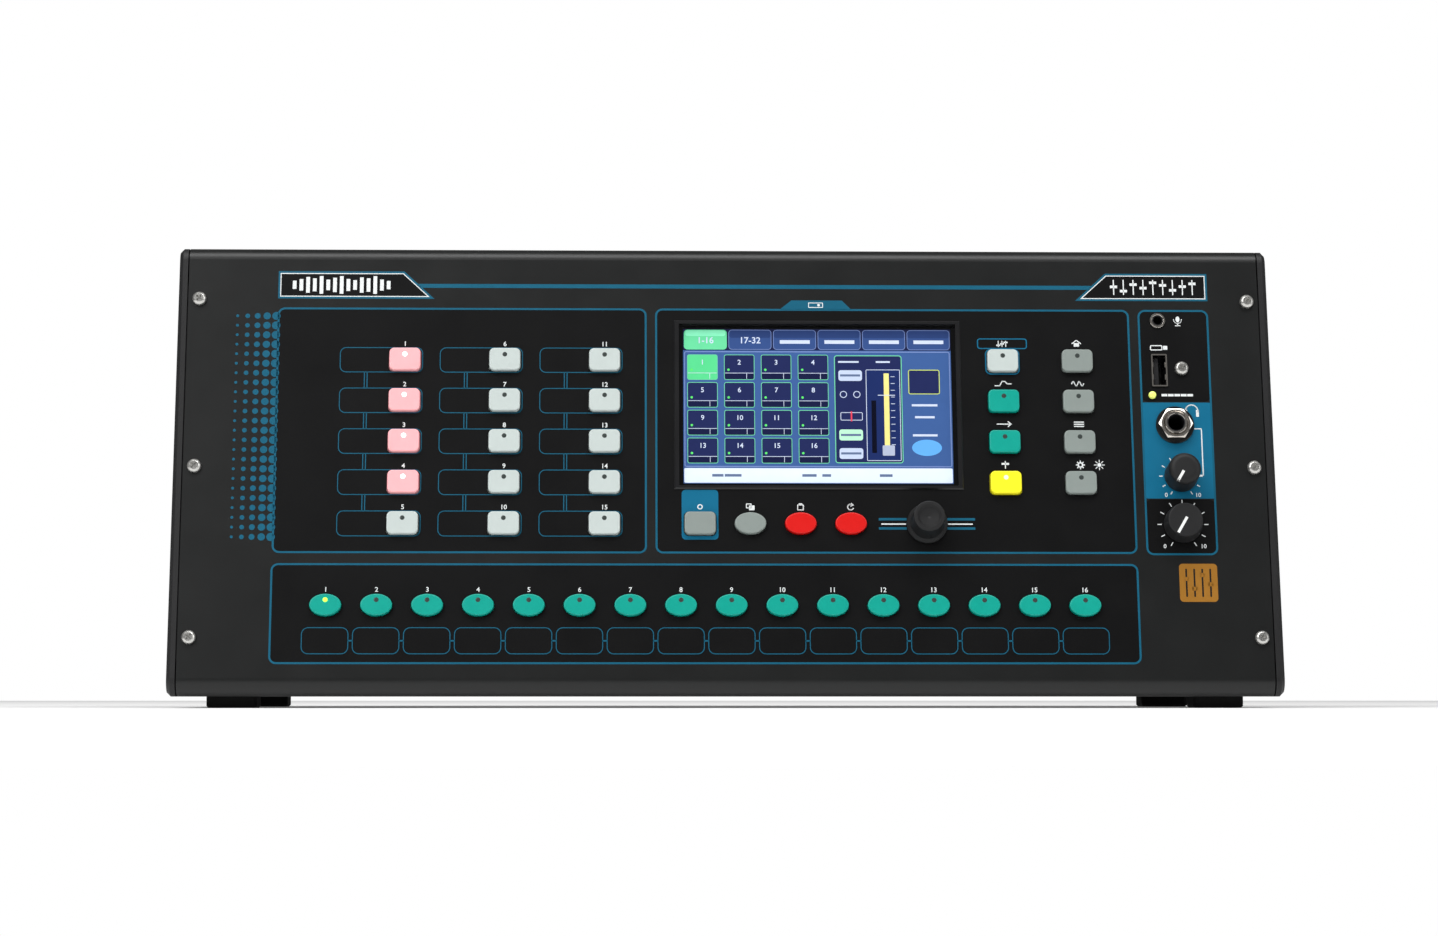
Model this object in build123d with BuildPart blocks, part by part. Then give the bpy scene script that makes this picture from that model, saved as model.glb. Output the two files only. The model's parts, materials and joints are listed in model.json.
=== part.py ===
"""Desktop digital mixing console with a leaning front panel and a touch screen.

Every separate piece of the console is one part with its own STEP file.  X runs
across the panel, Y runs from front to back, Z is up.  The origin is at the
middle of the console, on the surface that its feet stand on.
"""
from build123d import *
import os
from math import cos, radians, sin, tan

os.makedirs("parts", exist_ok=True)

# ---------------------------------------------------------------------------
# Driving dimensions, in millimetres and degrees
# ---------------------------------------------------------------------------
# Case
overall_depth = 194.0      # front bend to the outer faces of the rear jack nuts
panel_lean = 12.75         # how far the front panel leans back from vertical
sheet = 1.5                # steel sheet of the panel, cover and tray
bend_radius = 6.0          # outside radius of the long front bends
rear_bend = 3.0            # outside radius of the rear bends
panel_return = 16.0        # folded edge behind each front bend
cover_lip = 10.0           # rear edge of the cover, folded down
skirt_height = 14.0        # side flanges of the cover and the tray
side_thickness = 3.5       # cast side plates
side_chamfer = 1.5         # bevel round the outside of a side plate
side_gap = 0.5             # shadow line between front panel and side plate
seam = 0.4                 # gap where two folded sheets meet
ledge_width = 11.0         # inner ledge of a side plate, behind the front panel
ledge_thickness = 4.0

# Feet
foot_height = 4.5
foot_side = 20.0
foot_corner = 2.0
foot_chamfer = 0.8
foot_spacing_across = 390.8
foot_spacing_deep = 148.0

# Layout across the front panel
left_margin = 36.0         # panel edge to the soft key group
soft_first_inset = 51.4    # group edge to the first soft key column
soft_column_pitch = 40.0
soft_columns = 3
soft_last_inset = 16.9
group_gap = 3.4            # between the soft key group and the screen group
screen_inset = 7.4         # group edge to the screen bezel
control_inset = 16.8       # screen bezel to the first control key column
control_column_pitch = 30.1
control_end_inset = 21.7
select_end_inset = 21.7    # group edge to the first select key
select_count = 16
strip_gap = 3.5            # between the screen group and the socket strip
strip_width = 28.7
right_margin = 20.4

# Layout up the slope of the front panel, from its lower corner
select_up = 36.7
edit_row_rise = 33.5       # select keys to the edit key row
row_pitch = 17.0
row_count = 5
rows_to_frame = 22.0       # top row to the top of the printed groups
top_margin = 25.2          # printed groups to the upper corner
fn_inset = 17.7            # group edge to the function key
edit_pitch = 20.0
encoder_inset = 108.0      # group edge to the encoder
screen_rise = 14.25        # edit key row to the screen bezel
screen_head = 5.0          # least room above the bezel inside its printed frame

# Keys
key_width = 12.4
key_height = 9.3
key_corner = 2.0
oval_width = 12.5
oval_height = 8.8
key_proud = 1.9
key_edge_round = 0.5
key_clearance = 0.3        # all round a key in its window
key_travel = 1.0
flange_lip = 1.1           # the flange that keeps a key behind the panel
flange_thickness = 1.0
flange_gap = 0.3           # behind the panel when the key is at rest
stem_radius = 1.5
stem_engagement = 1.2      # stem inside its switch at rest
stem_clearance = 0.4
travel_room = 0.6          # left between flange and switch at full travel

# Screen
screen_width = 108.0
screen_height = 64.8
mask_side = 1.75           # black edge of the glass that shows at the sides
mask_end = 1.45            # and above and below the picture
bezel_rim_side = 2.1
bezel_rim_end = 1.5
bezel_proud = 0.7
bezel_chamfer = 0.56
bezel_wall = 0.8           # bezel throat that passes through the panel
bezel_fit = 0.15
bezel_depth = 0.5          # throat below the back of the panel
glass_lap = 3.0            # glass hidden under the bezel throat
glass_thickness = 1.5
glass_corner = 1.0
lcd_thickness = 3.6
lcd_inset = 1.0

# Control board and what is soldered to it
board_thickness = 1.6
board_gap = 0.4            # behind the liquid crystal panel
board_margin = 14.0        # board edge beyond the printed groups
switch_side = 6.0
pot_width = 12.0
pot_height = 11.0
pot_share = 0.7            # of the room between board and panel
board_overcut = 1.0        # cut-outs run past the board's edge
bush_radius = 4.6
bush_gap = 0.3             # bush to the back of the panel
shaft_radius = 3.0
shaft_clearance = 0.3
shaft_room = 0.8           # free depth below the shaft end

# Knobs
knob_gap = 0.6             # above the panel
encoder_skirt_radius = 8.1
encoder_radius = 6.4
encoder_height = 12.0
encoder_skirt_edge = 1.0   # upright edge of the skirt
encoder_foot = 2.4         # where the grip starts above the skirt
encoder_flare = 0.5
encoder_taper = 0.2
encoder_rim = 1.4          # flat rim round the dished top
encoder_bevel = 1.0
encoder_dish_edge = 0.9
encoder_dish = 1.3
encoder_edge_round = 0.5
phones_radius = 6.7
phones_height = 12.6
phones_taper = 0.3
phones_edge_round = 2.6
alt_radius = 7.7
alt_height = 7.2
alt_skirt_edge = 1.2
alt_taper = 0.8
alt_edge_round = 0.6

# Socket strip at the right of the front panel
strip_socket_inset = 8.0   # strip edge to the small jack and the memory socket
led_inset = 4.8
phones_jack_inset = 13.4
knob_inset = 15.0
strip_screw_inset = 17.0
phones_knob_rise = 20.0    # all rises are from the edit key row
phones_jack_rise = 41.3
led_rise = 53.9
usb_rise = 64.3
small_jack_rise = 85.4
strip_screw_rise = 65.1
led_radius = 1.5
led_proud = 0.6
jack_bore = 3.25           # for a 6.35 mm plug
jack_bush = 4.5
jack_body_side = 15.0
jack_body_depth = 28.0
jack_notch = 0.6           # circuit board to a socket that passes through it
jack_proud = 0.4           # bush beyond its nut
blind_end = 2.0            # closed end of a socket's bore
nut_flats = 12.0
nut_thickness = 2.6
washer_radius = 7.7
washer_thickness = 0.9
small_jack_bore = 1.8
small_jack_bush = 3.1
small_jack_side = 7.4
small_jack_proud = 0.6
usb_mouth_width = 5.3
usb_mouth_height = 12.6
usb_shell = 0.5
usb_depth = 14.0
usb_proud = 0.5
usb_tongue_width = 1.8
usb_tongue_height = 11.0
usb_tongue_length = 10.0
usb_tongue_offset = 1.1

# Fasteners
screw_head_radius = 2.8
screw_head_height = 1.9
screw_radius = 1.5
screw_length = 6.0
screw_clearance = 0.2
edge_screw_inset = 4.5     # from the side edge of the front panel
edge_screw_pitch = 70.0
edge_screw_count = 3
edge_screw_up = 23.7
side_screw_radius = 2.0
side_screw_head = 3.8
side_screw_length = 9.0
ear_spacing_deep = 40.0    # tapped holes for rack ears
ear_spacing_high = 100.0
ear_hole_radius = 1.65
ear_back = 62.0            # centre of the ear holes behind the front bend
lip_screw_count = 5
lip_screw_pitch = 98.0
lip_screw_drop = 1.0       # below the middle of the cover's lip
side_screw_front = 20.0    # front edge of the cover or tray to the first side screw
side_screw_rear = 25.0     # back of the case to the second
thread_fit = 0.15          # washer and nut round the jack's bush
nut_seat = 0.02            # between washer and nut

# Rear sockets
rear_projection = 3.5      # rear jack nuts stand this far behind the case
xlr_pitch = 30.0
xlr_row_pitch = 34.0
xlr_first_inset = 21.5     # side of the case to the first socket
xlr_top_drop = 32.0        # top of the case to the upper socket row
xlr_flange_width = 26.0
xlr_flange_height = 31.0
xlr_flange = 2.0
xlr_corner = 2.5
xlr_body_radius = 11.8
xlr_body_depth = 20.0
xlr_groove_outer = 9.4
xlr_groove_inner = 7.9
xlr_groove_depth = 12.0
xlr_contact_radius = 1.4
xlr_pin_radius = 1.2
xlr_pin_circle = 4.7
xlr_pin_length = 10.0
xlr_side_rise = 1.6        # the two outer contacts above the middle
cutout_clearance = 0.3
mic_rows = 2
mic_columns = 8
output_columns = 6
line_columns = 3
line_pitch = 20.0
line_gap = 44.0            # last XLR column to the first line jack column
data_gap = 30.0            # last line jack column to the first data socket
data_pitch = 24.0
rj_width = 16.0
rj_height = 14.0
rj_mouth_width = 11.8
rj_mouth_height = 8.4
rj_depth = 18.0
rj_blind = 4.0
data_proud = 0.8
usb_b_width = 12.4
usb_b_height = 11.4
usb_b_mouth_width = 8.8
usb_b_mouth_height = 7.9
usb_b_blind = 8.0
usb_b_tongue_width = 5.5
usb_b_tongue_height = 2.8
inlet_inset = 42.0         # side of the case to the mains inlet
inlet_rise = 34.0          # underside of the case to the mains inlet
inlet_width = 27.4
inlet_height = 20.0
inlet_flange = 2.0
inlet_flange_lip = 2.2
inlet_mouth_width = 24.0
inlet_mouth_height = 16.4
inlet_depth = 24.0
inlet_pin_depth = 15.0
inlet_pin_set = 3.0        # pin tips below the back of the case
inlet_pin_width = 2.0
inlet_pin_height = 4.0
inlet_pin_pitch = 7.0
inlet_pin_stagger = 2.0
inlet_corner = 2.0
rocker_offset = 40.0       # mains inlet to the rocker switch
rocker_width = 13.0
rocker_height = 19.0
rocker_frame_lip = 1.2
rocker_frame_wall = 1.6
rocker_depth = 16.0
rocker_clearance = 0.45
rocker_swing = 16.0        # degrees between off and on
rocker_corner = 1.5
rocker_pivot_depth = 3.0
rocker_tip_set = 0.2       # tips below the face of the frame when level
rocker_tip_gap = 0.3
rocker_heel = 2.0          # below the pivot
rocker_heel_half = 2.4
rocker_dish = 0.9

# Boards inside the case
post_height = 9.0
post_radius = 3.0
post_inset = 6.0
main_board_depth = 106.0
main_board_side = 18.0     # board edge to the side plate
supply_width = 84.0
supply_depth = 96.0
supply_height = 34.0
board_split = 12.0         # between the power supply and the main board
board_rear_room = 34.0     # rear wall to the boards
chip_side = 18.0
chip_pitch = 36.0
chip_thickness = 2.4
chip_columns = 5
chip_rows = 2
can_radius = 4.0           # capacitors
can_pitch = 15.0
can_height = 10.0
can_count = 14
transformer_width = 32.0
transformer_depth = 32.6
heatsink_offset = 28.6     # middle of the supply to its heatsink, and to its capacitors
heatsink_thickness = 6.0
heatsink_depth = 67.2
supply_can_radius = 6.0
supply_can_pitch = 20.0
supply_can_count = 4
supply_can_height = 20.4

# ---------------------------------------------------------------------------
# Sizes that follow from the driving dimensions
# ---------------------------------------------------------------------------
lean = radians(panel_lean)

# Across the panel
soft_group_width = soft_first_inset + (soft_columns - 1) * soft_column_pitch + soft_last_inset
bezel_width = screen_width + 2 * (mask_side + bezel_rim_side)
bezel_height = screen_height + 2 * (mask_end + bezel_rim_end)
screen_group_width = (
    screen_inset + bezel_width + control_inset + control_column_pitch + control_end_inset
)
block_width = soft_group_width + group_gap + screen_group_width
panel_width = left_margin + block_width + strip_gap + strip_width + right_margin
overall_width = panel_width + 2 * (side_gap + side_thickness)
case_width = overall_width - 2 * side_thickness
block_left = left_margin - panel_width / 2
screen_group_left = block_left + soft_group_width + group_gap
strip_left = block_left + block_width + strip_gap

soft_first = block_left + soft_first_inset
select_first = block_left + select_end_inset
select_pitch = (block_width - 2 * select_end_inset) / (select_count - 1)
screen_across = screen_group_left + screen_inset + bezel_width / 2
control_first = screen_across + bezel_width / 2 + control_inset
fn_across = screen_group_left + fn_inset
encoder_across = screen_group_left + encoder_inset

# Up the slope
edit_up = select_up + edit_row_rise
top_row_up = edit_up + (row_count - 1) * row_pitch
screen_up = edit_up + screen_rise + bezel_height / 2
frame_top = max(top_row_up + rows_to_frame, screen_up + bezel_height / 2 + screen_head)
slope_length = frame_top + top_margin
overall_height = foot_height + slope_length * cos(lean)

# Side view: where the sharp corners of the case outline are
front_corner = -overall_depth / 2 - bend_radius * ((1 + sin(lean)) / cos(lean) - 1)
top_corner = front_corner + (overall_height - foot_height) * tan(lean)
case_back = overall_depth / 2 - rear_projection
base_start = front_corner + bend_radius + panel_return + seam
cover_start = top_corner + bend_radius + panel_return + seam

# Behind the panel, measured outwards from its front face
key_flange_front = -sheet - flange_gap
key_flange_back = key_flange_front - flange_thickness
switch_front = key_flange_back - key_travel - travel_room
glass_front = -sheet - bezel_depth
lcd_back = glass_front - glass_thickness - lcd_thickness
board_front = lcd_back - board_gap
board_back = board_front - board_thickness
stem_length = key_flange_back - switch_front + stem_engagement
bush_front = -sheet - bush_gap
shaft_end = board_front + shaft_room

panel_plane = Plane(
    origin=(0, front_corner, foot_height),
    x_dir=(1, 0, 0),
    z_dir=(0, -cos(lean), sin(lean)),
)


def on_panel(across=0.0, up=0.0, out=0.0):
    """A plane parallel to the front panel, through the given place on it."""
    place = panel_plane.from_local_coords(Vector(across, up, out))
    return Plane(origin=place, x_dir=panel_plane.x_dir, z_dir=panel_plane.z_dir)


def through_knob(across, up):
    """A plane that holds a knob's axis: X across the panel and Y out of it."""
    place = panel_plane.from_local_coords(Vector(across, up, 0))
    return Plane(origin=place, x_dir=(1, 0, 0), z_dir=(0, -sin(lean), -cos(lean)))


rear_plane = Plane(origin=(0, case_back, 0), x_dir=(-1, 0, 0), z_dir=(0, 1, 0))


def behind(out=0.0):
    """A plane parallel to the rear wall: X runs left to right as seen from behind."""
    return rear_plane.offset(out)


def finish(piece, name):
    """Name a finished piece and write it out."""
    piece.part.label = name
    export_step(piece.part, f"parts/{name}.step")


# Where everything sits on the front panel, as (across, up)
soft_places = [
    (soft_first + column * soft_column_pitch, top_row_up - row * row_pitch)
    for column in range(soft_columns)
    for row in range(row_count)
]
select_places = [(select_first + i * select_pitch, select_up) for i in range(select_count)]
control_places = [
    (control_first + column * control_column_pitch, top_row_up - row * row_pitch)
    for column in range(2)
    for row in range(row_count - 1)
]
fn_place = (fn_across, edit_up)
edit_places = [(fn_across + (i + 1) * edit_pitch, edit_up) for i in range(3)]
rect_places = soft_places + control_places + [fn_place]
oval_places = select_places + edit_places
encoder_place = (encoder_across, edit_up)
phones_place = (strip_left + knob_inset, edit_up + phones_knob_rise)
alt_place = (strip_left + knob_inset, edit_up)
knob_places = [encoder_place, phones_place, alt_place]
phones_jack_place = (strip_left + phones_jack_inset, edit_up + phones_jack_rise)
usb_place = (strip_left + strip_socket_inset, edit_up + usb_rise)
small_jack_place = (strip_left + strip_socket_inset, edit_up + small_jack_rise)
led_place = (strip_left + led_inset, edit_up + led_rise)
edge_screw_places = [
    (side * (panel_width / 2 - edge_screw_inset), edge_screw_up + i * edge_screw_pitch)
    for side in (-1, 1)
    for i in range(edge_screw_count)
]
strip_screw_place = (strip_left + strip_screw_inset, edit_up + strip_screw_rise)
panel_screw_places = edge_screw_places + [strip_screw_place]
screen_place = (screen_across, screen_up)
throat_width = bezel_width - 2 * (bezel_rim_side - bezel_wall)
throat_height = bezel_height - 2 * (bezel_rim_end - bezel_wall)

# Where everything sits on the rear wall, as (left to right from behind, height)
rear_left = -case_width / 2
xlr_top_row = overall_height - xlr_top_drop
mic_places = [
    (rear_left + xlr_first_inset + i * xlr_pitch, xlr_top_row - row * xlr_row_pitch)
    for row in range(mic_rows)
    for i in range(mic_columns)
]
output_places = [
    (rear_left + xlr_first_inset + i * xlr_pitch, xlr_top_row - (mic_rows + row) * xlr_row_pitch)
    for row in range(2)
    for i in range(output_columns)
]
line_first = rear_left + xlr_first_inset + (mic_columns - 1) * xlr_pitch + line_gap
line_places = [
    (line_first + i * line_pitch, xlr_top_row - row * xlr_row_pitch)
    for row in range(2)
    for i in range(line_columns)
]
data_first = line_first + (line_columns - 1) * line_pitch + data_gap
rj_places = [(data_first + i * data_pitch, xlr_top_row) for i in range(2)]
usb_b_place = (data_first, xlr_top_row - xlr_row_pitch)
inlet_place = (-rear_left - inlet_inset, foot_height + inlet_rise)
rocker_place = (inlet_place[0] - rocker_offset, inlet_place[1])
lip_screw_height = overall_height - cover_lip / 2 - lip_screw_drop
lip_screw_places = [
    ((i - (lip_screw_count - 1) / 2) * lip_screw_pitch, lip_screw_height)
    for i in range(lip_screw_count)
]

# Side plate fixings, as (front to back, height): two in the cover, two in the tray
side_screw_places = [
    (cover_start + side_screw_front, overall_height - sheet - skirt_height / 2),
    (case_back - side_screw_rear, overall_height - sheet - skirt_height / 2),
    (base_start + side_screw_front, foot_height + sheet + skirt_height / 2),
    (case_back - side_screw_rear, foot_height + sheet + skirt_height / 2),
]
ear_centre = (-overall_depth / 2 + ear_back, foot_height + (overall_height - foot_height) / 2)
ear_places = [
    (ear_centre[0] + y * ear_spacing_deep / 2, ear_centre[1] + z * ear_spacing_high / 2)
    for y in (-1, 1)
    for z in (-1, 1)
]

# ---------------------------------------------------------------------------
# Front panel: one folded steel sheet with every window and hole
# ---------------------------------------------------------------------------
with BuildPart() as front_panel:
    with BuildSketch(Plane.YZ):
        with BuildLine():
            FilletPolyline(
                (top_corner + bend_radius + panel_return, overall_height),
                (top_corner, overall_height),
                (front_corner, foot_height),
                (front_corner + bend_radius + panel_return, foot_height),
                radius=bend_radius,
            )
            offset(amount=sheet, side=Side.LEFT)
        make_face()
    extrude(amount=panel_width / 2, both=True)
    with BuildSketch(on_panel()):
        with Locations(*rect_places):
            RectangleRounded(
                key_width + 2 * key_clearance, key_height + 2 * key_clearance, key_corner
            )
        with Locations(*oval_places):
            Ellipse(oval_width / 2 + key_clearance, oval_height / 2 + key_clearance)
        with Locations(*knob_places):
            Circle(shaft_radius + 2 * shaft_clearance)
        with Locations(screen_place):
            Rectangle(throat_width + 2 * bezel_fit, throat_height + 2 * bezel_fit)
        with Locations(phones_jack_place):
            Circle(jack_bush + screw_clearance)
        with Locations(small_jack_place):
            Circle(small_jack_bush + screw_clearance)
        with Locations(usb_place):
            Rectangle(
                usb_mouth_width + 2 * (usb_shell + screw_clearance),
                usb_mouth_height + 2 * (usb_shell + screw_clearance),
            )
        with Locations(led_place):
            Circle(led_radius + screw_clearance)
        with Locations(*panel_screw_places):
            Circle(screw_radius + screw_clearance)
    extrude(amount=-2 * sheet, mode=Mode.SUBTRACT)
finish(front_panel, "front_panel")

# ---------------------------------------------------------------------------
# Tray: underside and rear wall in one folded sheet, with low side walls
# ---------------------------------------------------------------------------
rear_wall_top = overall_height - cover_lip - seam
skirt_length = case_back - rear_bend - base_start
with BuildPart() as chassis_tray:
    with BuildSketch(Plane.YZ):
        with BuildLine():
            FilletPolyline(
                (base_start, foot_height),
                (case_back, foot_height),
                (case_back, rear_wall_top),
                radius=rear_bend,
            )
            offset(amount=sheet, side=Side.LEFT)
        make_face()
    extrude(amount=case_width / 2, both=True)
    with BuildSketch(Plane.XY.offset(foot_height)):
        with Locations(
            ((case_width - sheet) / 2, base_start + skirt_length / 2),
            ((sheet - case_width) / 2, base_start + skirt_length / 2),
        ):
            Rectangle(sheet, skirt_length)
    extrude(amount=sheet + skirt_height)
    # A strip behind the cover lip takes the screws of the lip
    with BuildSketch(Plane.YZ):
        with Locations((case_back - 1.5 * sheet - seam, rear_wall_top)):
            Rectangle(sheet, 2 * (cover_lip - rear_bend))
        with Locations((case_back - sheet - seam / 2, rear_wall_top - cover_lip / 4)):
            Rectangle(seam, cover_lip / 2)
    extrude(amount=case_width / 2 - 3 * sheet, both=True)
    with BuildSketch(behind()):
        with Locations(*(mic_places + output_places)):
            Circle(xlr_body_radius + cutout_clearance)
        with Locations(*line_places):
            Circle(jack_bush + cutout_clearance)
        with Locations(*rj_places):
            Rectangle(rj_width + 2 * cutout_clearance, rj_height + 2 * cutout_clearance)
        with Locations(usb_b_place):
            Rectangle(usb_b_width + 2 * cutout_clearance, usb_b_height + 2 * cutout_clearance)
        with Locations(inlet_place):
            Rectangle(inlet_width + 2 * cutout_clearance, inlet_height + 2 * cutout_clearance)
        with Locations(rocker_place):
            Rectangle(
                rocker_width + 2 * (rocker_frame_wall + cutout_clearance),
                rocker_height + 2 * (rocker_frame_wall + cutout_clearance),
            )
        with Locations(*lip_screw_places):
            Circle(screw_radius + screw_clearance)
    extrude(amount=-4 * sheet, mode=Mode.SUBTRACT)
    for side in (-1, 1):
        with BuildSketch(Plane.YZ.offset(side * case_width / 2)):
            with Locations(*side_screw_places[2:]):
                Circle(side_screw_radius + screw_clearance)
        extrude(amount=-side * 3 * sheet, mode=Mode.SUBTRACT)
finish(chassis_tray, "chassis_tray")

# ---------------------------------------------------------------------------
# Top cover: flat sheet with side skirts and a rear lip
# ---------------------------------------------------------------------------
cover_length = case_back - rear_bend - cover_start
with BuildPart() as top_cover:
    with BuildSketch(Plane.YZ):
        with BuildLine():
            FilletPolyline(
                (cover_start, overall_height),
                (case_back, overall_height),
                (case_back, overall_height - cover_lip),
                radius=rear_bend,
            )
            offset(amount=sheet, side=Side.RIGHT)
        make_face()
    extrude(amount=case_width / 2, both=True)
    with BuildSketch(Plane.XY.offset(overall_height - sheet)):
        with Locations(
            ((case_width - sheet) / 2, cover_start + cover_length / 2),
            ((sheet - case_width) / 2, cover_start + cover_length / 2),
        ):
            Rectangle(sheet, cover_length)
    extrude(amount=-skirt_height)
    with BuildSketch(behind()):
        with Locations(*lip_screw_places):
            Circle(screw_radius + screw_clearance)
    extrude(amount=-1.2 * sheet, mode=Mode.SUBTRACT)
    for side in (-1, 1):
        with BuildSketch(Plane.YZ.offset(side * case_width / 2)):
            with Locations(*side_screw_places[:2]):
                Circle(side_screw_radius + screw_clearance)
        extrude(amount=-side * 3 * sheet, mode=Mode.SUBTRACT)
finish(top_cover, "top_cover")


# ---------------------------------------------------------------------------
# Side plates: castings with the outline of the case and a ledge for the panel
# ---------------------------------------------------------------------------
def build_side_plate(name, side):
    """One side plate, with its ledge, its screw holes and its rack ear holes."""
    inner = side * case_width / 2
    outer_face = Axis((0, 0, 0), (side, 0, 0))
    with BuildPart() as plate:
        with BuildSketch(Plane.YZ.offset(inner)) as outline:
            with BuildLine():
                Polyline(
                    (front_corner, foot_height),
                    (top_corner, overall_height),
                    (case_back, overall_height),
                    (case_back, foot_height),
                    close=True,
                )
            make_face()
            fillet(outline.vertices().sort_by(Axis.X)[:2], radius=bend_radius)
            fillet(outline.vertices().sort_by(Axis.X)[-2:], radius=rear_bend)
        extrude(amount=side * side_thickness)
        chamfer(plate.faces().sort_by(outer_face)[-1].edges(), length=side_chamfer)
        ledge_across = side * (case_width - ledge_width) / 2
        with BuildSketch(on_panel(ledge_across, slope_length / 2, -sheet)):
            Rectangle(ledge_width, slope_length - 4 * (bend_radius + sheet))
        extrude(amount=-ledge_thickness)
        with BuildSketch(on_panel()):
            with Locations(*edge_screw_places):
                Circle(screw_radius + screw_clearance)
        extrude(amount=-sheet - 2 * ledge_thickness, mode=Mode.SUBTRACT)
        with BuildSketch(Plane.YZ.offset(inner + side * side_thickness)):
            with Locations(*side_screw_places):
                Circle(side_screw_radius + screw_clearance)
            with Locations(*ear_places):
                Circle(ear_hole_radius)
        extrude(amount=-side * 2 * side_thickness, mode=Mode.SUBTRACT)
        for y, z in side_screw_places:
            sink = Plane(
                origin=(inner + side * side_thickness, y, z), x_dir=(0, 1, 0), z_dir=(-side, 0, 0)
            )
            with BuildSketch(sink):
                Circle(side_screw_head + screw_clearance)
            with BuildSketch(sink.offset(side_screw_head - side_screw_radius)):
                Circle(side_screw_radius + screw_clearance)
            loft(mode=Mode.SUBTRACT)
    finish(plate, name)
    return plate


left_side_plate = build_side_plate("left_side_plate", -1)
right_side_plate = build_side_plate("right_side_plate", 1)

# ---------------------------------------------------------------------------
# Rubber feet: four blocks under the tray
# ---------------------------------------------------------------------------
foot_middle = (base_start + case_back - rear_bend) / 2 - panel_return / 2
with BuildPart() as rubber_feet:
    with BuildSketch(Plane.XY):
        with Locations((0, foot_middle)):
            with GridLocations(foot_spacing_across, foot_spacing_deep, 2, 2):
                RectangleRounded(foot_side, foot_side, foot_corner)
    extrude(amount=foot_height)
    chamfer(rubber_feet.faces().group_by(Axis.Z)[0].edges(), length=foot_chamfer)
finish(rubber_feet, "rubber_feet")


# ---------------------------------------------------------------------------
# Keys: moulded caps, each with a flange behind the panel and a stem
# ---------------------------------------------------------------------------
def build_key(name, place, oval):
    """One key cap at its rest height."""
    across, up = place
    width = oval_width if oval else key_width
    height = oval_height if oval else key_height
    outwards = Axis((0, 0, 0), panel_plane.z_dir)
    with BuildPart() as key:
        with BuildSketch(on_panel(across, up, key_flange_front)):
            if oval:
                Ellipse(width / 2, height / 2)
            else:
                RectangleRounded(width, height, key_corner)
        extrude(amount=key_proud - key_flange_front)
        fillet(key.faces().sort_by(outwards)[-1].edges(), radius=key_edge_round)
        with BuildSketch(on_panel(across, up, key_flange_front)):
            RectangleRounded(width + 2 * flange_lip, height + 2 * flange_lip, key_corner)
        extrude(amount=-flange_thickness)
        with BuildSketch(on_panel(across, up, key_flange_back)):
            Circle(stem_radius)
        extrude(amount=-stem_length)
    finish(key, name)


for number, place in enumerate(soft_places, start=1):
    build_key(f"soft_key_{number:02d}", place, oval=False)
for number, place in enumerate(select_places, start=1):
    build_key(f"select_key_{number:02d}", place, oval=True)
for number, place in enumerate(control_places, start=1):
    build_key(f"control_key_{number}", place, oval=False)
build_key("function_key", fn_place, oval=False)
for name, place in zip(("copy_key", "paste_key", "reset_key"), edit_places):
    build_key(name, place, oval=True)


# ---------------------------------------------------------------------------
# Knobs: turned profiles, each with its shaft
# ---------------------------------------------------------------------------
def build_knob(name, place, outline, edge_round):
    """One knob from its half outline above the panel, as (radius, height) points."""
    across, up = place
    outwards = Axis(panel_plane.from_local_coords(Vector(across, up, 0)), panel_plane.z_dir)
    with BuildPart() as knob:
        with BuildSketch(through_knob(across, up)) as half:
            with BuildLine():
                Polyline(
                    (0, shaft_end),
                    (shaft_radius, shaft_end),
                    (shaft_radius, knob_gap),
                    *outline,
                    close=True,
                )
            make_face()
            rim = half.vertices().group_by(Axis.Y)[-1].sort_by(Axis.X)[-1]
            fillet(rim, radius=edge_round)
        revolve(axis=outwards)
    finish(knob, name)


encoder_top = encoder_radius - encoder_taper
build_knob(
    "encoder_knob",
    encoder_place,
    [
        (encoder_skirt_radius, knob_gap),
        (encoder_skirt_radius, knob_gap + encoder_skirt_edge),
        (encoder_radius + encoder_flare, knob_gap + encoder_foot),
        (encoder_top, knob_gap + encoder_height),
        (encoder_top - encoder_rim, knob_gap + encoder_height),
        (encoder_top - encoder_rim - encoder_bevel, knob_gap + encoder_height - encoder_dish_edge),
        (0, knob_gap + encoder_height - encoder_dish),
    ],
    encoder_edge_round,
)
build_knob(
    "phones_knob",
    phones_place,
    [
        (phones_radius, knob_gap),
        (phones_radius - phones_taper, knob_gap + phones_height),
        (0, knob_gap + phones_height),
    ],
    phones_edge_round,
)
build_knob(
    "alt_knob",
    alt_place,
    [
        (alt_radius, knob_gap),
        (alt_radius, knob_gap + alt_skirt_edge),
        (alt_radius - alt_taper, knob_gap + alt_height),
        (0, knob_gap + alt_height),
    ],
    alt_edge_round,
)

# ---------------------------------------------------------------------------
# Screen: a moulded bezel set in the panel, and the glass and display behind it
# ---------------------------------------------------------------------------
with BuildPart() as screen_bezel:
    with BuildSketch(on_panel(*screen_place)):
        Rectangle(bezel_width, bezel_height)
    extrude(amount=bezel_proud)
    outer_edges = screen_bezel.faces().sort_by(Axis((0, 0, 0), panel_plane.z_dir))[-1].edges()
    chamfer(outer_edges, length=bezel_chamfer)
    with BuildSketch(on_panel(*screen_place)):
        Rectangle(throat_width, throat_height)
    extrude(amount=glass_front)
    with BuildSketch(on_panel(*screen_place, glass_front)):
        Rectangle(screen_width + 2 * mask_side, screen_height + 2 * mask_end)
    extrude(amount=bezel_proud - glass_front, mode=Mode.SUBTRACT)
finish(screen_bezel, "screen_bezel")

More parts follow.
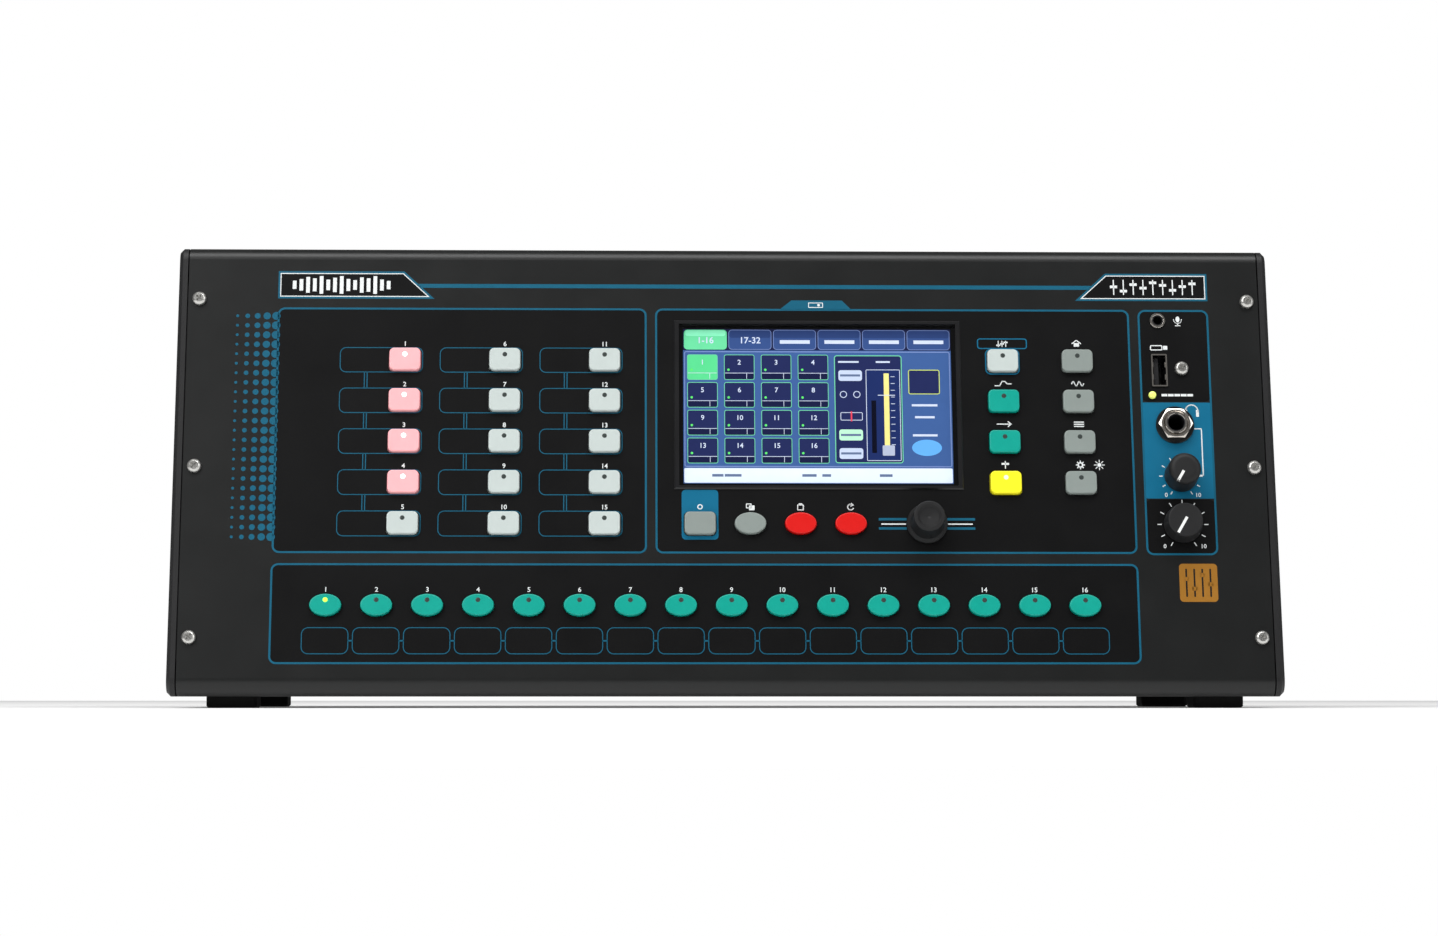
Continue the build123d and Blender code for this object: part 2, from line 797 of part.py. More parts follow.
with BuildPart() as touch_screen:
    with BuildSketch(on_panel(*screen_place, glass_front)):
        RectangleRounded(
            throat_width + 2 * glass_lap, throat_height + 2 * glass_lap, glass_corner
        )
    extrude(amount=-glass_thickness)
    with BuildSketch(on_panel(*screen_place, glass_front - glass_thickness)):
        Rectangle(
            throat_width + 2 * (glass_lap - lcd_inset),
            throat_height + 2 * (glass_lap - lcd_inset),
        )
    extrude(amount=-lcd_thickness)
finish(touch_screen, "touch_screen")

# ---------------------------------------------------------------------------
# Control board: switches, encoder, pots and power light on one circuit board
# ---------------------------------------------------------------------------
board_left = block_left - board_margin
board_right = strip_left + strip_width + board_margin / 2
board_low = select_up - board_margin
board_high = frame_top + board_margin / 2
with BuildPart() as control_board:
    with BuildSketch(
        on_panel((board_left + board_right) / 2, (board_low + board_high) / 2, board_back)
    ):
        Rectangle(board_right - board_left, board_high - board_low)
    extrude(amount=board_thickness)
    with BuildSketch(on_panel(0, 0, board_front)):
        with Locations(*(rect_places + oval_places)):
            Rectangle(switch_side, switch_side)
            Circle(stem_radius + stem_clearance, mode=Mode.SUBTRACT)
    extrude(amount=switch_front - board_front)
    with BuildSketch(on_panel(0, 0, board_front)):
        with Locations(*knob_places):
            Rectangle(pot_width, pot_height)
    extrude(amount=(bush_front - board_front) * pot_share)
    with BuildSketch(on_panel(0, 0, board_front)):
        with Locations(*knob_places):
            Circle(bush_radius)
    extrude(amount=bush_front - board_front)
    with BuildSketch(on_panel(0, 0, bush_front)):
        with Locations(*knob_places):
            Circle(shaft_radius + shaft_clearance)
    extrude(amount=board_front - bush_front, mode=Mode.SUBTRACT)
    # Power light
    with BuildSketch(on_panel(*led_place, board_front)):
        Circle(led_radius)
    extrude(amount=led_proud - board_front)
    # Cut-outs for the sockets that reach through the board
    notch_left = phones_jack_place[0] - jack_body_side / 2 - jack_notch
    with BuildSketch(on_panel(0, 0, board_front)):
        with Locations(((notch_left + board_right) / 2, phones_jack_place[1])):
            Rectangle(
                board_right - notch_left + board_overcut, jack_body_side + 2 * jack_notch
            )
        with Locations(usb_place):
            Rectangle(
                usb_mouth_width + 2 * (usb_shell + jack_notch),
                usb_mouth_height + 2 * (usb_shell + jack_notch),
            )
    extrude(amount=-2 * board_thickness, mode=Mode.SUBTRACT)
finish(control_board, "control_board")

# ---------------------------------------------------------------------------
# Fasteners: panel screws, side plate screws, lip screws, and the jack's nut
# ---------------------------------------------------------------------------
with BuildPart() as fasteners:
    with BuildSketch(on_panel()):
        with Locations(*panel_screw_places):
            Circle(screw_head_radius)
    extrude(amount=screw_head_height)
    with BuildSketch(on_panel()):
        with Locations(*panel_screw_places):
            Circle(screw_radius)
    extrude(amount=-screw_length)
    with BuildSketch(behind()):
        with Locations(*lip_screw_places):
            Circle(screw_head_radius)
    extrude(amount=screw_head_height)
    with BuildSketch(behind()):
        with Locations(*lip_screw_places):
            Circle(screw_radius)
    extrude(amount=-screw_length)
    for side in (-1, 1):
        for y, z in side_screw_places:
            head = Plane(
                origin=(side * overall_width / 2, y, z), x_dir=(0, 1, 0), z_dir=(-side, 0, 0)
            )
            with BuildSketch(head):
                Circle(side_screw_head)
            with BuildSketch(head.offset(side_screw_head - side_screw_radius)):
                Circle(side_screw_radius)
            loft()
            with BuildSketch(head):
                Circle(side_screw_radius)
            extrude(amount=side_screw_length)
    with BuildSketch(on_panel(*phones_jack_place)):
        Circle(washer_radius)
        Circle(jack_bush + thread_fit, mode=Mode.SUBTRACT)
    extrude(amount=washer_thickness)
    with BuildSketch(on_panel(*phones_jack_place, washer_thickness + nut_seat)):
        RegularPolygon(nut_flats / 2, 6, major_radius=False, rotation=30)
        Circle(jack_bush + thread_fit, mode=Mode.SUBTRACT)
    extrude(amount=nut_thickness)
finish(fasteners, "fasteners")

# ---------------------------------------------------------------------------
# Sockets: three in the front strip, and all those of the rear wall
# ---------------------------------------------------------------------------
contact_places = [
    (0, -xlr_pin_circle),
    (-xlr_pin_circle, xlr_side_rise),
    (xlr_pin_circle, xlr_side_rise),
]
line_bush_length = rear_projection
with BuildPart() as sockets:
    # Headphone jack: its threaded bush passes through the panel
    with BuildSketch(on_panel(*phones_jack_place, -sheet)):
        Rectangle(jack_body_side, jack_body_side)
    extrude(amount=-jack_body_depth)
    with BuildSketch(on_panel(*phones_jack_place, -sheet)):
        Circle(jack_bush)
    extrude(amount=sheet + washer_thickness + nut_thickness + jack_proud)
    with BuildSketch(on_panel(*phones_jack_place, 0)):
        Circle(jack_bore)
    extrude(amount=2 * nut_thickness, mode=Mode.SUBTRACT)
    with BuildSketch(on_panel(*phones_jack_place, 0)):
        Circle(jack_bore)
    extrude(amount=blind_end - jack_body_depth, mode=Mode.SUBTRACT)
    # Small jack for a microphone
    with BuildSketch(on_panel(*small_jack_place, board_front)):
        Rectangle(small_jack_side, small_jack_side)
    extrude(amount=-sheet - board_front)
    with BuildSketch(on_panel(*small_jack_place, -sheet)):
        Circle(small_jack_bush)
    extrude(amount=sheet + small_jack_proud)
    with BuildSketch(on_panel(*small_jack_place, small_jack_proud)):
        Circle(small_jack_bore)
    extrude(amount=board_front, mode=Mode.SUBTRACT)
    # Memory stick socket: a folded shell with a tongue down the middle
    with BuildSketch(on_panel(*usb_place, usb_proud)):
        Rectangle(usb_mouth_width + 2 * usb_shell, usb_mouth_height + 2 * usb_shell)
    extrude(amount=-usb_depth)
    with BuildSketch(on_panel(*usb_place, usb_proud)):
        Rectangle(usb_mouth_width, usb_mouth_height)
    extrude(amount=blind_end - usb_depth, mode=Mode.SUBTRACT)
    tongue_across = usb_place[0] - usb_tongue_offset
    usb_floor = usb_proud + blind_end - usb_depth
    with BuildSketch(on_panel(tongue_across, usb_place[1], usb_floor)):
        Rectangle(usb_tongue_width, usb_tongue_height)
    extrude(amount=usb_tongue_length)
    # Three-pin microphone inputs and outputs
    with BuildSketch(behind()):
        with Locations(*(mic_places + output_places)):
            RectangleRounded(xlr_flange_width, xlr_flange_height, xlr_corner)
    extrude(amount=xlr_flange)
    with BuildSketch(behind()):
        with Locations(*(mic_places + output_places)):
            Circle(xlr_body_radius)
    extrude(amount=-xlr_body_depth)
    with BuildSketch(behind(xlr_flange)):
        for across, up in mic_places:
            with Locations((across, up)):
                Circle(xlr_groove_outer)
                Circle(xlr_groove_inner, mode=Mode.SUBTRACT)
            with Locations(*[(across + x, up + z) for x, z in contact_places]):
                Circle(xlr_contact_radius)
    extrude(amount=-xlr_groove_depth, mode=Mode.SUBTRACT)
    with BuildSketch(behind(xlr_flange)):
        with Locations(*output_places):
            Circle(xlr_groove_outer)
    extrude(amount=-xlr_groove_depth, mode=Mode.SUBTRACT)
    with BuildSketch(behind(xlr_flange - xlr_groove_depth)):
        for across, up in output_places:
            with Locations(*[(across + x, up + z) for x, z in contact_places]):
                Circle(xlr_pin_radius)
    extrude(amount=xlr_pin_length)
    # Line jacks: body inside, threaded bush and nut outside
    with BuildSketch(behind(-sheet)):
        with Locations(*line_places):
            Rectangle(jack_body_side, jack_body_side)
    extrude(amount=-jack_body_depth)
    with BuildSketch(behind(-sheet)):
        with Locations(*line_places):
            Circle(jack_bush)
    extrude(amount=sheet + line_bush_length)
    with BuildSketch(behind()):
        with Locations(*line_places):
            RegularPolygon(nut_flats / 2, 6, major_radius=False, rotation=30)
    extrude(amount=nut_thickness)
    with BuildSketch(behind(line_bush_length)):
        with Locations(*line_places):
            Circle(jack_bore)
    extrude(amount=blind_end - jack_body_depth, mode=Mode.SUBTRACT)
    # Network sockets
    with BuildSketch(behind(data_proud)):
        with Locations(*rj_places):
            Rectangle(rj_width, rj_height)
    extrude(amount=-rj_depth)
    with BuildSketch(behind(data_proud)):
        with Locations(*rj_places):
            Rectangle(rj_mouth_width, rj_mouth_height)
    extrude(amount=rj_blind - rj_depth, mode=Mode.SUBTRACT)
    # Computer socket with its square tongue
    with BuildSketch(behind(data_proud)):
        with Locations(usb_b_place):
            Rectangle(usb_b_width, usb_b_height)
    extrude(amount=-rj_depth)
    with BuildSketch(behind(data_proud)):
        with Locations(usb_b_place):
            Rectangle(usb_b_mouth_width, usb_b_mouth_height)
            Rectangle(usb_b_tongue_width, usb_b_tongue_height, mode=Mode.SUBTRACT)
    extrude(amount=usb_b_blind - rj_depth, mode=Mode.SUBTRACT)
    # Mains inlet with three pins
    with BuildSketch(behind()):
        with Locations(inlet_place):
            RectangleRounded(
                inlet_width + 2 * inlet_flange_lip,
                inlet_height + 2 * inlet_flange_lip,
                inlet_corner,
            )
    extrude(amount=inlet_flange)
    with BuildSketch(behind()):
        with Locations(inlet_place):
            Rectangle(inlet_width, inlet_height)
    extrude(amount=-inlet_depth)
    with BuildSketch(behind(inlet_flange)):
        with Locations(inlet_place):
            Rectangle(inlet_mouth_width, inlet_mouth_height)
    extrude(amount=-inlet_flange - inlet_pin_depth, mode=Mode.SUBTRACT)
    pin_row = [
        (inlet_place[0] - inlet_pin_pitch, inlet_place[1] - inlet_pin_stagger),
        (inlet_place[0] + inlet_pin_pitch, inlet_place[1] - inlet_pin_stagger),
        (inlet_place[0], inlet_place[1] + inlet_pin_stagger),
    ]
    with BuildSketch(behind(-inlet_pin_depth)):
        with Locations(*pin_row):
            Rectangle(inlet_pin_width, inlet_pin_height)
    extrude(amount=inlet_pin_depth - inlet_pin_set)
    # Frame of the mains rocker
    with BuildSketch(behind()):
        with Locations(rocker_place):
            RectangleRounded(
                rocker_width + 2 * (rocker_frame_wall + rocker_frame_lip),
                rocker_height + 2 * (rocker_frame_wall + rocker_frame_lip),
                rocker_corner,
            )
    extrude(amount=inlet_flange)
    with BuildSketch(behind()):
        with Locations(rocker_place):
            Rectangle(
                rocker_width + 2 * rocker_frame_wall, rocker_height + 2 * rocker_frame_wall
            )
    extrude(amount=-rocker_depth)
    with BuildSketch(behind(inlet_flange)):
        with Locations(rocker_place):
            Rectangle(rocker_width, rocker_height)
    extrude(amount=blind_end - inlet_flange - rocker_depth, mode=Mode.SUBTRACT)
finish(sockets, "sockets")

# ---------------------------------------------------------------------------
# Mains rocker: turns about an axis across its frame; at rest it is switched off
# ---------------------------------------------------------------------------
rocker_x = -rocker_place[0]
rocker_z = rocker_place[1]
rocker_pivot = (rocker_x, case_back - rocker_pivot_depth, rocker_z)
rocker_half = rocker_height / 2 - rocker_clearance
half_swing = radians(rocker_swing / 2)
rocker_tip = rocker_pivot_depth + inlet_flange - rocker_tip_set
tip_half = rocker_half - rocker_tip * sin(half_swing) - rocker_tip_gap
with BuildPart() as power_rocker:
    with BuildSketch(Plane.YZ.offset(rocker_x)) as rocker_side:
        with BuildLine():
            Polyline(
                (-rocker_pivot_depth - rocker_heel, -rocker_heel_half),
                (0.0, -tip_half),
                (rocker_tip, -tip_half),
                (rocker_tip - rocker_dish, 0.0),
                (rocker_tip, tip_half),
                (0.0, tip_half),
                (-rocker_pivot_depth - rocker_heel, rocker_heel_half),
                close=True,
            )
        make_face()
    extrude(amount=rocker_width / 2 - rocker_clearance, both=True)
power_rocker.part = (
    Pos(*rocker_pivot) * Rot(rocker_swing / 2, 0, 0) * Pos(-rocker_x, 0, 0) * power_rocker.part
)
finish(power_rocker, "power_rocker")

# ---------------------------------------------------------------------------
# Main board and power supply: on posts above the tray
# ---------------------------------------------------------------------------
board_floor = foot_height + sheet
inner_side = case_width / 2 - main_board_side
board_rear = case_back - board_rear_room
main_left = -inner_side + supply_width + board_split
main_width = inner_side - main_left
main_middle = (main_left + inner_side) / 2
with BuildPart() as main_board:
    with BuildSketch(Plane.XY.offset(board_floor + post_height)):
        with Locations((main_middle, board_rear - main_board_depth / 2)):
            Rectangle(main_width, main_board_depth)
    extrude(amount=board_thickness)
    with BuildSketch(Plane.XY.offset(board_floor)):
        with Locations((main_middle, board_rear - main_board_depth / 2)):
            with GridLocations(main_width / 2 - post_inset, main_board_depth - 2 * post_inset, 3, 2):
                Circle(post_radius)
    extrude(amount=post_height)
    with BuildSketch(Plane.XY.offset(board_floor + post_height + board_thickness)):
        with Locations((main_middle, board_rear - main_board_depth / 2)):
            with GridLocations(chip_pitch, chip_pitch, chip_columns, chip_rows):
                Rectangle(chip_side, chip_side)
    extrude(amount=chip_thickness)
    with BuildSketch(Plane.XY.offset(board_floor + post_height + board_thickness)):
        with Locations((main_middle, board_rear - 2 * can_radius)):
            with GridLocations(can_pitch, can_pitch, can_count, 1):
                Circle(can_radius)
    extrude(amount=can_height)
finish(main_board, "main_board")

with BuildPart() as power_supply:
    supply_x = -inner_side + supply_width / 2
    supply_y = board_rear - supply_depth / 2
    with BuildSketch(Plane.XY.offset(board_floor + post_height)):
        with Locations((supply_x, supply_y)):
            Rectangle(supply_width, supply_depth)
    extrude(amount=board_thickness)
    with BuildSketch(Plane.XY.offset(board_floor)):
        with Locations((supply_x, supply_y)):
            with GridLocations(
                supply_width - 2 * post_inset, supply_depth - 2 * post_inset, 2, 2
            ):
                Circle(post_radius)
    extrude(amount=post_height)
    with BuildSketch(Plane.XY.offset(board_floor + post_height + board_thickness)):
        with Locations((supply_x, supply_y)):
            Rectangle(transformer_width, transformer_depth)
        with Locations((supply_x - heatsink_offset, supply_y)):
            Rectangle(heatsink_thickness, heatsink_depth)
    extrude(amount=supply_height - post_height - board_thickness)
    with BuildSketch(Plane.XY.offset(board_floor + post_height + board_thickness)):
        with Locations((supply_x + heatsink_offset, supply_y)):
            with GridLocations(supply_can_pitch, supply_can_pitch, 1, supply_can_count):
                Circle(supply_can_radius)
    extrude(amount=supply_can_height)
finish(power_supply, "power_supply")

print(f"width {overall_width:.2f}  height {overall_height:.2f}  depth {overall_depth:.2f}")
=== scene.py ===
import json
import math

import bmesh
import bpy
from mathutils import Matrix, Vector, geometry


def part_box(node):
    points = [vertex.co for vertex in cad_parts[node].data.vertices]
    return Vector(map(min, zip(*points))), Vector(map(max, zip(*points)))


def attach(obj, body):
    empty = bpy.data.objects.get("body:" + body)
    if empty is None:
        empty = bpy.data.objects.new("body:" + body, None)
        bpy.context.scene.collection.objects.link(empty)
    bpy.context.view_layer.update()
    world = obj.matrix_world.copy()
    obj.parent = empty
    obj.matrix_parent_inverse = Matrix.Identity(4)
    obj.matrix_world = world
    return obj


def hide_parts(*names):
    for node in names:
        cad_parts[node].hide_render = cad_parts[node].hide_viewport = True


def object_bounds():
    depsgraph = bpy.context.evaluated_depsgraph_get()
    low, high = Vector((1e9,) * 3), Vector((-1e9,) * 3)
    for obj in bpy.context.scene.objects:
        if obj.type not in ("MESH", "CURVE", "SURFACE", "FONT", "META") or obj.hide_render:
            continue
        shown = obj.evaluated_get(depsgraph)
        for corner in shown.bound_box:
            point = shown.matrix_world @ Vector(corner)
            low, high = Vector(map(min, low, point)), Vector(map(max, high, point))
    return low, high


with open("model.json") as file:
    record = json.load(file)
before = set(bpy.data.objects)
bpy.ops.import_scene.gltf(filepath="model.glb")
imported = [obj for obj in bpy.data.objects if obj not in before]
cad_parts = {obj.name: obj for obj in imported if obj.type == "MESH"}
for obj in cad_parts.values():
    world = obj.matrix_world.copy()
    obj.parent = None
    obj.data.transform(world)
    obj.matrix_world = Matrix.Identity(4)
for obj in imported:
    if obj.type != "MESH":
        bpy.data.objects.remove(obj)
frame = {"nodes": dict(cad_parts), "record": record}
cad_low, cad_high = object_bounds()

# ---------------------------------------------------------------------------
# Front panel
# One folded steel sheet with a satin charcoal powder coat. It leans back, and
# all that the user touches sits on it, so its plane is worked out first.
# ---------------------------------------------------------------------------
mm = 0.001
joints = {joint["name"]: joint for joint in frame["record"]["behaviour"]["joints"]}
panel_out = -Vector(joints["encoder_turn"]["axis"]).normalized()
panel_up = panel_out.cross(Vector((1, 0, 0)))
panel_low, panel_high = (Vector(corner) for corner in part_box("front_panel"))
encoder_centre = Vector(joints["encoder_turn"]["pos_m"])
panel_foot = encoder_centre - panel_up * ((encoder_centre.z - panel_low.z) / panel_up.z)
panel_foot.x = 0


def on_panel(across=0.0, up=0.0, out=0.0):
    """A place on the panel, in millimetres, as a frame whose Z stands out of it."""
    spot = panel_foot + (Vector((across, 0, 0)) + panel_up * up + panel_out * out) * mm
    turn = Matrix((Vector((1, 0, 0)), panel_up, panel_out)).transposed()
    return Matrix.Translation(spot) @ turn.to_4x4()


def paint(red, green, blue):
    """A colour as the eye sees it, from 0 to 255, turned into the values that shaders take."""
    return tuple((value / 255) ** 2.2 for value in (red, green, blue)) + (1.0,)


gloss_spread = 0.15
grain_strength = 0.35
clear_roughness = 0.06


def finish(name, look, roughness, metallic=0.0, patchy=0.12, patch=20.0, grain=0.0, grain_size=0.5,
           shine=0.5, clear=0.0, glow=0.0):
    """A surface with patchy colour, uneven gloss and a fine grain. Sizes are in millimetres."""
    material = bpy.data.materials.new(name)
    material.use_nodes = True
    nodes, links = material.node_tree.nodes, material.node_tree.links
    shader = nodes["Principled BSDF"]
    shader.inputs["Metallic"].default_value = metallic
    shader.inputs["Specular IOR Level"].default_value = shine
    shader.inputs["Coat Weight"].default_value = clear
    shader.inputs["Coat Roughness"].default_value = clear_roughness
    place = nodes.new("ShaderNodeTexCoord")
    patches = nodes.new("ShaderNodeTexNoise")
    patches.inputs["Scale"].default_value = 1 / (patch * mm)
    patches.inputs["Detail"].default_value = 5.0
    links.new(place.outputs["Object"], patches.inputs["Vector"])
    tone = nodes.new("ShaderNodeMix")
    tone.data_type = "RGBA"
    tone.inputs["A"].default_value = tuple(part * (1 - patchy) for part in look[:3]) + (1.0,)
    tone.inputs["B"].default_value = tuple(min(part * (1 + patchy), 1) for part in look[:3]) + (1.0,)
    links.new(patches.outputs["Fac"], tone.inputs["Factor"])
    links.new(tone.outputs["Result"], shader.inputs["Base Color"])
    gloss = nodes.new("ShaderNodeMapRange")
    gloss.inputs["To Min"].default_value = roughness * (1 - gloss_spread)
    gloss.inputs["To Max"].default_value = min(roughness * (1 + gloss_spread), 1)
    links.new(patches.outputs["Fac"], gloss.inputs["Value"])
    links.new(gloss.outputs["Result"], shader.inputs["Roughness"])
    if glow:
        links.new(tone.outputs["Result"], shader.inputs["Emission Color"])
        shader.inputs["Emission Strength"].default_value = glow
    if grain:
        pits = nodes.new("ShaderNodeTexNoise")
        pits.inputs["Scale"].default_value = 1 / (grain_size * mm)
        pits.inputs["Detail"].default_value = 2.0
        links.new(place.outputs["Object"], pits.inputs["Vector"])
        bump = nodes.new("ShaderNodeBump")
        bump.inputs["Strength"].default_value = grain_strength
        bump.inputs["Distance"].default_value = grain * mm
        links.new(pits.outputs["Fac"], bump.inputs["Height"])
        links.new(bump.outputs["Normal"], shader.inputs["Normal"])
    return material


def coat(node, material):
    """Gives a CAD piece its finish."""
    piece = frame["nodes"][node]
    if not piece.material_slots:
        piece.data.materials.append(material)
    for slot in piece.material_slots:
        slot.material = material


charcoal = finish("charcoal_powder_coat", paint(25, 26, 26), 0.36, patchy=0.08, grain=0.05, shine=0.42)
coat("front_panel", charcoal)


# ---------------------------------------------------------------------------
# Printed groups
# Black and teal screen print on the panel: a darker field and an outline round
# each group of controls, cut out round every key, knob and socket.
# ---------------------------------------------------------------------------
black_level = 0.02
teal_level = 0.035
white_level = 0.05
line = 0.8
group_corner = 3.0
key_window = 0.35

black_ink = finish("black_ink", paint(14, 14, 15), 0.45, patchy=0.06, grain=0.04, shine=0.18)
teal_ink = finish("teal_ink", paint(8, 92, 118), 0.45, patchy=0.10, patch=8.0, shine=0.3)
bright_teal_ink = finish("bright_teal_ink", paint(0, 104, 138), 0.42, patchy=0.06, patch=8.0, shine=0.3)
white_ink = finish("white_ink", paint(232, 236, 236), 0.5, patchy=0.05, patch=6.0, shine=0.3)


def place_of(node):
    """Middle of a CAD piece in the panel's own directions, as (across, up) in millimetres."""
    points = [vertex.co - panel_foot for vertex in frame["nodes"][node].data.vertices]
    acrosses = [point.x / mm for point in points]
    ups = [point.dot(panel_up) / mm for point in points]
    return (min(acrosses) + max(acrosses)) / 2, (min(ups) + max(ups)) / 2


def rounded(left, low, right, high, corner, steps=6):
    """The outline of a rectangle with round corners."""
    corners = [(right, high, 0), (left, high, 90), (left, low, 180), (right, low, 270)]
    outline = []
    for x, y, start in corners:
        middle_x = x - corner if x == right else x + corner
        middle_y = y - corner if y == high else y + corner
        for i in range(steps + 1):
            angle = math.radians(start + 90 * i / steps)
            outline.append((middle_x + corner * math.cos(angle), middle_y + corner * math.sin(angle)))
    return outline


def pad(x, y, half_width, half_height, corner, steps=6):
    """The outline of a rectangle with round corners, about its middle."""
    return rounded(x - half_width, y - half_height, x + half_width, y + half_height, corner, steps)


def disc(x, y, radius, other=None, points=32):
    """The outline of a circle, or of an ellipse."""
    tall = radius if other is None else other
    turns = [2 * math.pi * i / points for i in range(points)]
    return [(x + radius * math.cos(turn), y + tall * math.sin(turn)) for turn in turns]


def border(left, low, right, high, corner, width):
    """A line round a rectangle, inside it."""
    inner = rounded(left + width, low + width, right - width, high - width, max(corner - width, 0.2))
    return [rounded(left, low, right, high, corner), inner]


def stroke(points, width):
    """A line through some points, as one bar for each stretch of it."""
    bars = []
    for (x, y), (next_x, next_y) in zip(points, points[1:]):
        run = math.hypot(next_x - x, next_y - y)
        along_x, along_y = (next_x - x) / run * width / 2, (next_y - y) / run * width / 2
        bars.append([[
            (x - along_x - along_y, y - along_y + along_x),
            (x - along_x + along_y, y - along_y - along_x),
            (next_x + along_x + along_y, next_y + along_y - along_x),
            (next_x + along_x - along_y, next_y + along_y + along_x),
        ]])
    return bars


def add_slab(work, shape, at, low, high):
    """A flat slab: its outline is first in shape and its holes follow."""
    loops = [[Vector((x, y, 0)) for x, y in loop] for loop in shape]
    points = [point for loop in loops for point in loop]
    top = [work.verts.new(at @ Vector((point.x * mm, point.y * mm, high * mm))) for point in points]
    under = [work.verts.new(at @ Vector((point.x * mm, point.y * mm, low * mm))) for point in points]
    for corners in geometry.tessellate_polygon(loops):
        work.faces.new([top[i] for i in corners])
        work.faces.new([under[i] for i in reversed(corners)])
    start = 0
    for loop in loops:
        for i in range(len(loop)):
            here, there = start + i, start + (i + 1) % len(loop)
            work.faces.new([under[here], under[there], top[there], top[here]])
        start += len(loop)


def make_piece(name, work, material, body="console", smooth=False):
    """Turns the finished mesh work into a piece that rides on a body."""
    bmesh.ops.recalc_face_normals(work, faces=work.faces)
    mesh = bpy.data.meshes.new(name)
    work.to_mesh(mesh)
    work.free()
    mesh.materials.append(material)
    if smooth:
        mesh.shade_smooth()
        mesh.set_sharp_from_angle(angle=math.radians(32))
    piece = bpy.data.objects.new(name, mesh)
    bpy.context.scene.collection.objects.link(piece)
    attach(piece, body)
    return piece


def print_on(name, shapes, ink, level, surface=None):
    """A layer of screen print, lying on a surface and a little way into it."""
    work = bmesh.new()
    for shape in shapes:
        add_slab(work, shape, surface or on_panel(), -0.01, level)
    return make_piece(name, work, ink)


soft_places = [place_of(f"soft_key_{i:02d}") for i in range(1, 16)]
select_places = [place_of(f"select_key_{i:02d}") for i in range(1, 17)]
control_places = [place_of(f"control_key_{i}") for i in range(1, 9)]
fn_place = place_of("function_key")
edit_places = [place_of(name) for name in ("copy_key", "paste_key", "reset_key")]
encoder_place, phones_place, alt_place = (
    place_of(name) for name in ("encoder_knob", "phones_knob", "alt_knob")
)
screen_place = place_of("screen_bezel")

# Edges of the groups, from the keys inside them
soft_left = soft_places[0][0] - 51.4
soft_right = soft_places[-1][0] + 16.9
screen_left = soft_right + 3.4
screen_right = control_places[-1][0] + 21.7
strip_left = screen_right + 3.5
strip_right = strip_left + 28.7
groups_high = soft_places[0][1] + 22.0
groups_low = fn_place[1] - 12.2
select_high = select_places[0][1] + 17.2
select_low = select_places[0][1] - 23.7
strip_split = groups_high - 38.8
strip_lower_top = groups_high - 79.7
strip_lower_low = groups_low - 0.5

# Sockets of the strip
small_jack_place = (strip_left + 8.0, fn_place[1] + 85.4)
memory_place = (strip_left + 8.0, fn_place[1] + 64.3)
light_place = (strip_left + 4.8, fn_place[1] + 53.9)
phones_jack_place = (strip_left + 13.4, fn_place[1] + 41.3)
strip_screw_place = (strip_left + 17.0, fn_place[1] + 65.1)

key_hole = (12.4 / 2 + key_window, 9.3 / 2 + key_window, 2.1)
oval_hole = (12.5 / 2 + key_window, 8.8 / 2 + key_window)
knob_hole = 3.6
screen_hole = pad(*screen_place, 115.7 / 2 - 0.6, 70.7 / 2 - 0.6, 0.4)
memory_hole = pad(*memory_place, 3.3, 7.0, 0.3)

soft_group = (soft_left, groups_low, soft_right, groups_high)
screen_group = (screen_left, groups_low, screen_right, groups_high)
select_group = (soft_left - 0.2, select_low, screen_right, select_high)
strip_group = (strip_left, strip_lower_low, strip_right, groups_high)
fields = [
    [rounded(*soft_group, group_corner)] + [pad(*place, *key_hole) for place in soft_places],
    [rounded(*screen_group, group_corner), screen_hole]
    + [pad(*place, *key_hole) for place in control_places + [fn_place]]
    + [disc(*place, *oval_hole) for place in edit_places]
    + [disc(*encoder_place, knob_hole)],
    [rounded(*select_group, group_corner)] + [disc(*place, *oval_hole) for place in select_places],
    [rounded(strip_left, strip_split, strip_right, groups_high, group_corner),
     disc(*small_jack_place, 3.25), memory_hole, disc(*light_place, 1.6), disc(*strip_screw_place, 1.6)],
    [rounded(strip_left, strip_lower_low, strip_right, strip_lower_top, group_corner),
     disc(*alt_place, knob_hole)],
]
print_on("black_fields", fields, black_ink, black_level)

groups = (soft_group, screen_group, select_group, strip_group)
teal_lines = [border(*group, group_corner, line) for group in groups]

# Name boxes: one beside each soft key and one under each select key
thin_line = 0.35
box_corner = 2.6
soft_box_left = 26.1
soft_box_right = 7.2
soft_box_half = 5.3
row_pitch = 17
lowest_row = soft_places[4][1]
connector_inset = 15.6
connector_gap = 1.1
for x, y in soft_places:
    teal_lines.append(border(
        x - soft_box_left, y - soft_box_half, x + soft_box_right, y + soft_box_half, box_corner, thin_line
    ))
    if y > lowest_row + 1:
        for side in (-1, 1):
            post = x - connector_inset + side * connector_gap / 2
            teal_lines += stroke([(post, y - soft_box_half), (post, y - row_pitch + soft_box_half)], 0.4)
name_box_half = 9.3
name_box_corner = 2.8
name_box_high = select_places[0][1] - 8.8
name_box_low = select_places[0][1] - 19.7
name_box_middle = (name_box_high + name_box_low) / 2
for x, y in select_places:
    teal_lines.append(border(
        x - name_box_half, name_box_low, x + name_box_half, name_box_high, name_box_corner, thin_line
    ))
for (x, y), (next_x, next_y) in zip(select_places, select_places[1:]):
    teal_lines += stroke([(x + name_box_half, name_box_middle),
                          (next_x - name_box_half, name_box_middle)], 0.6)

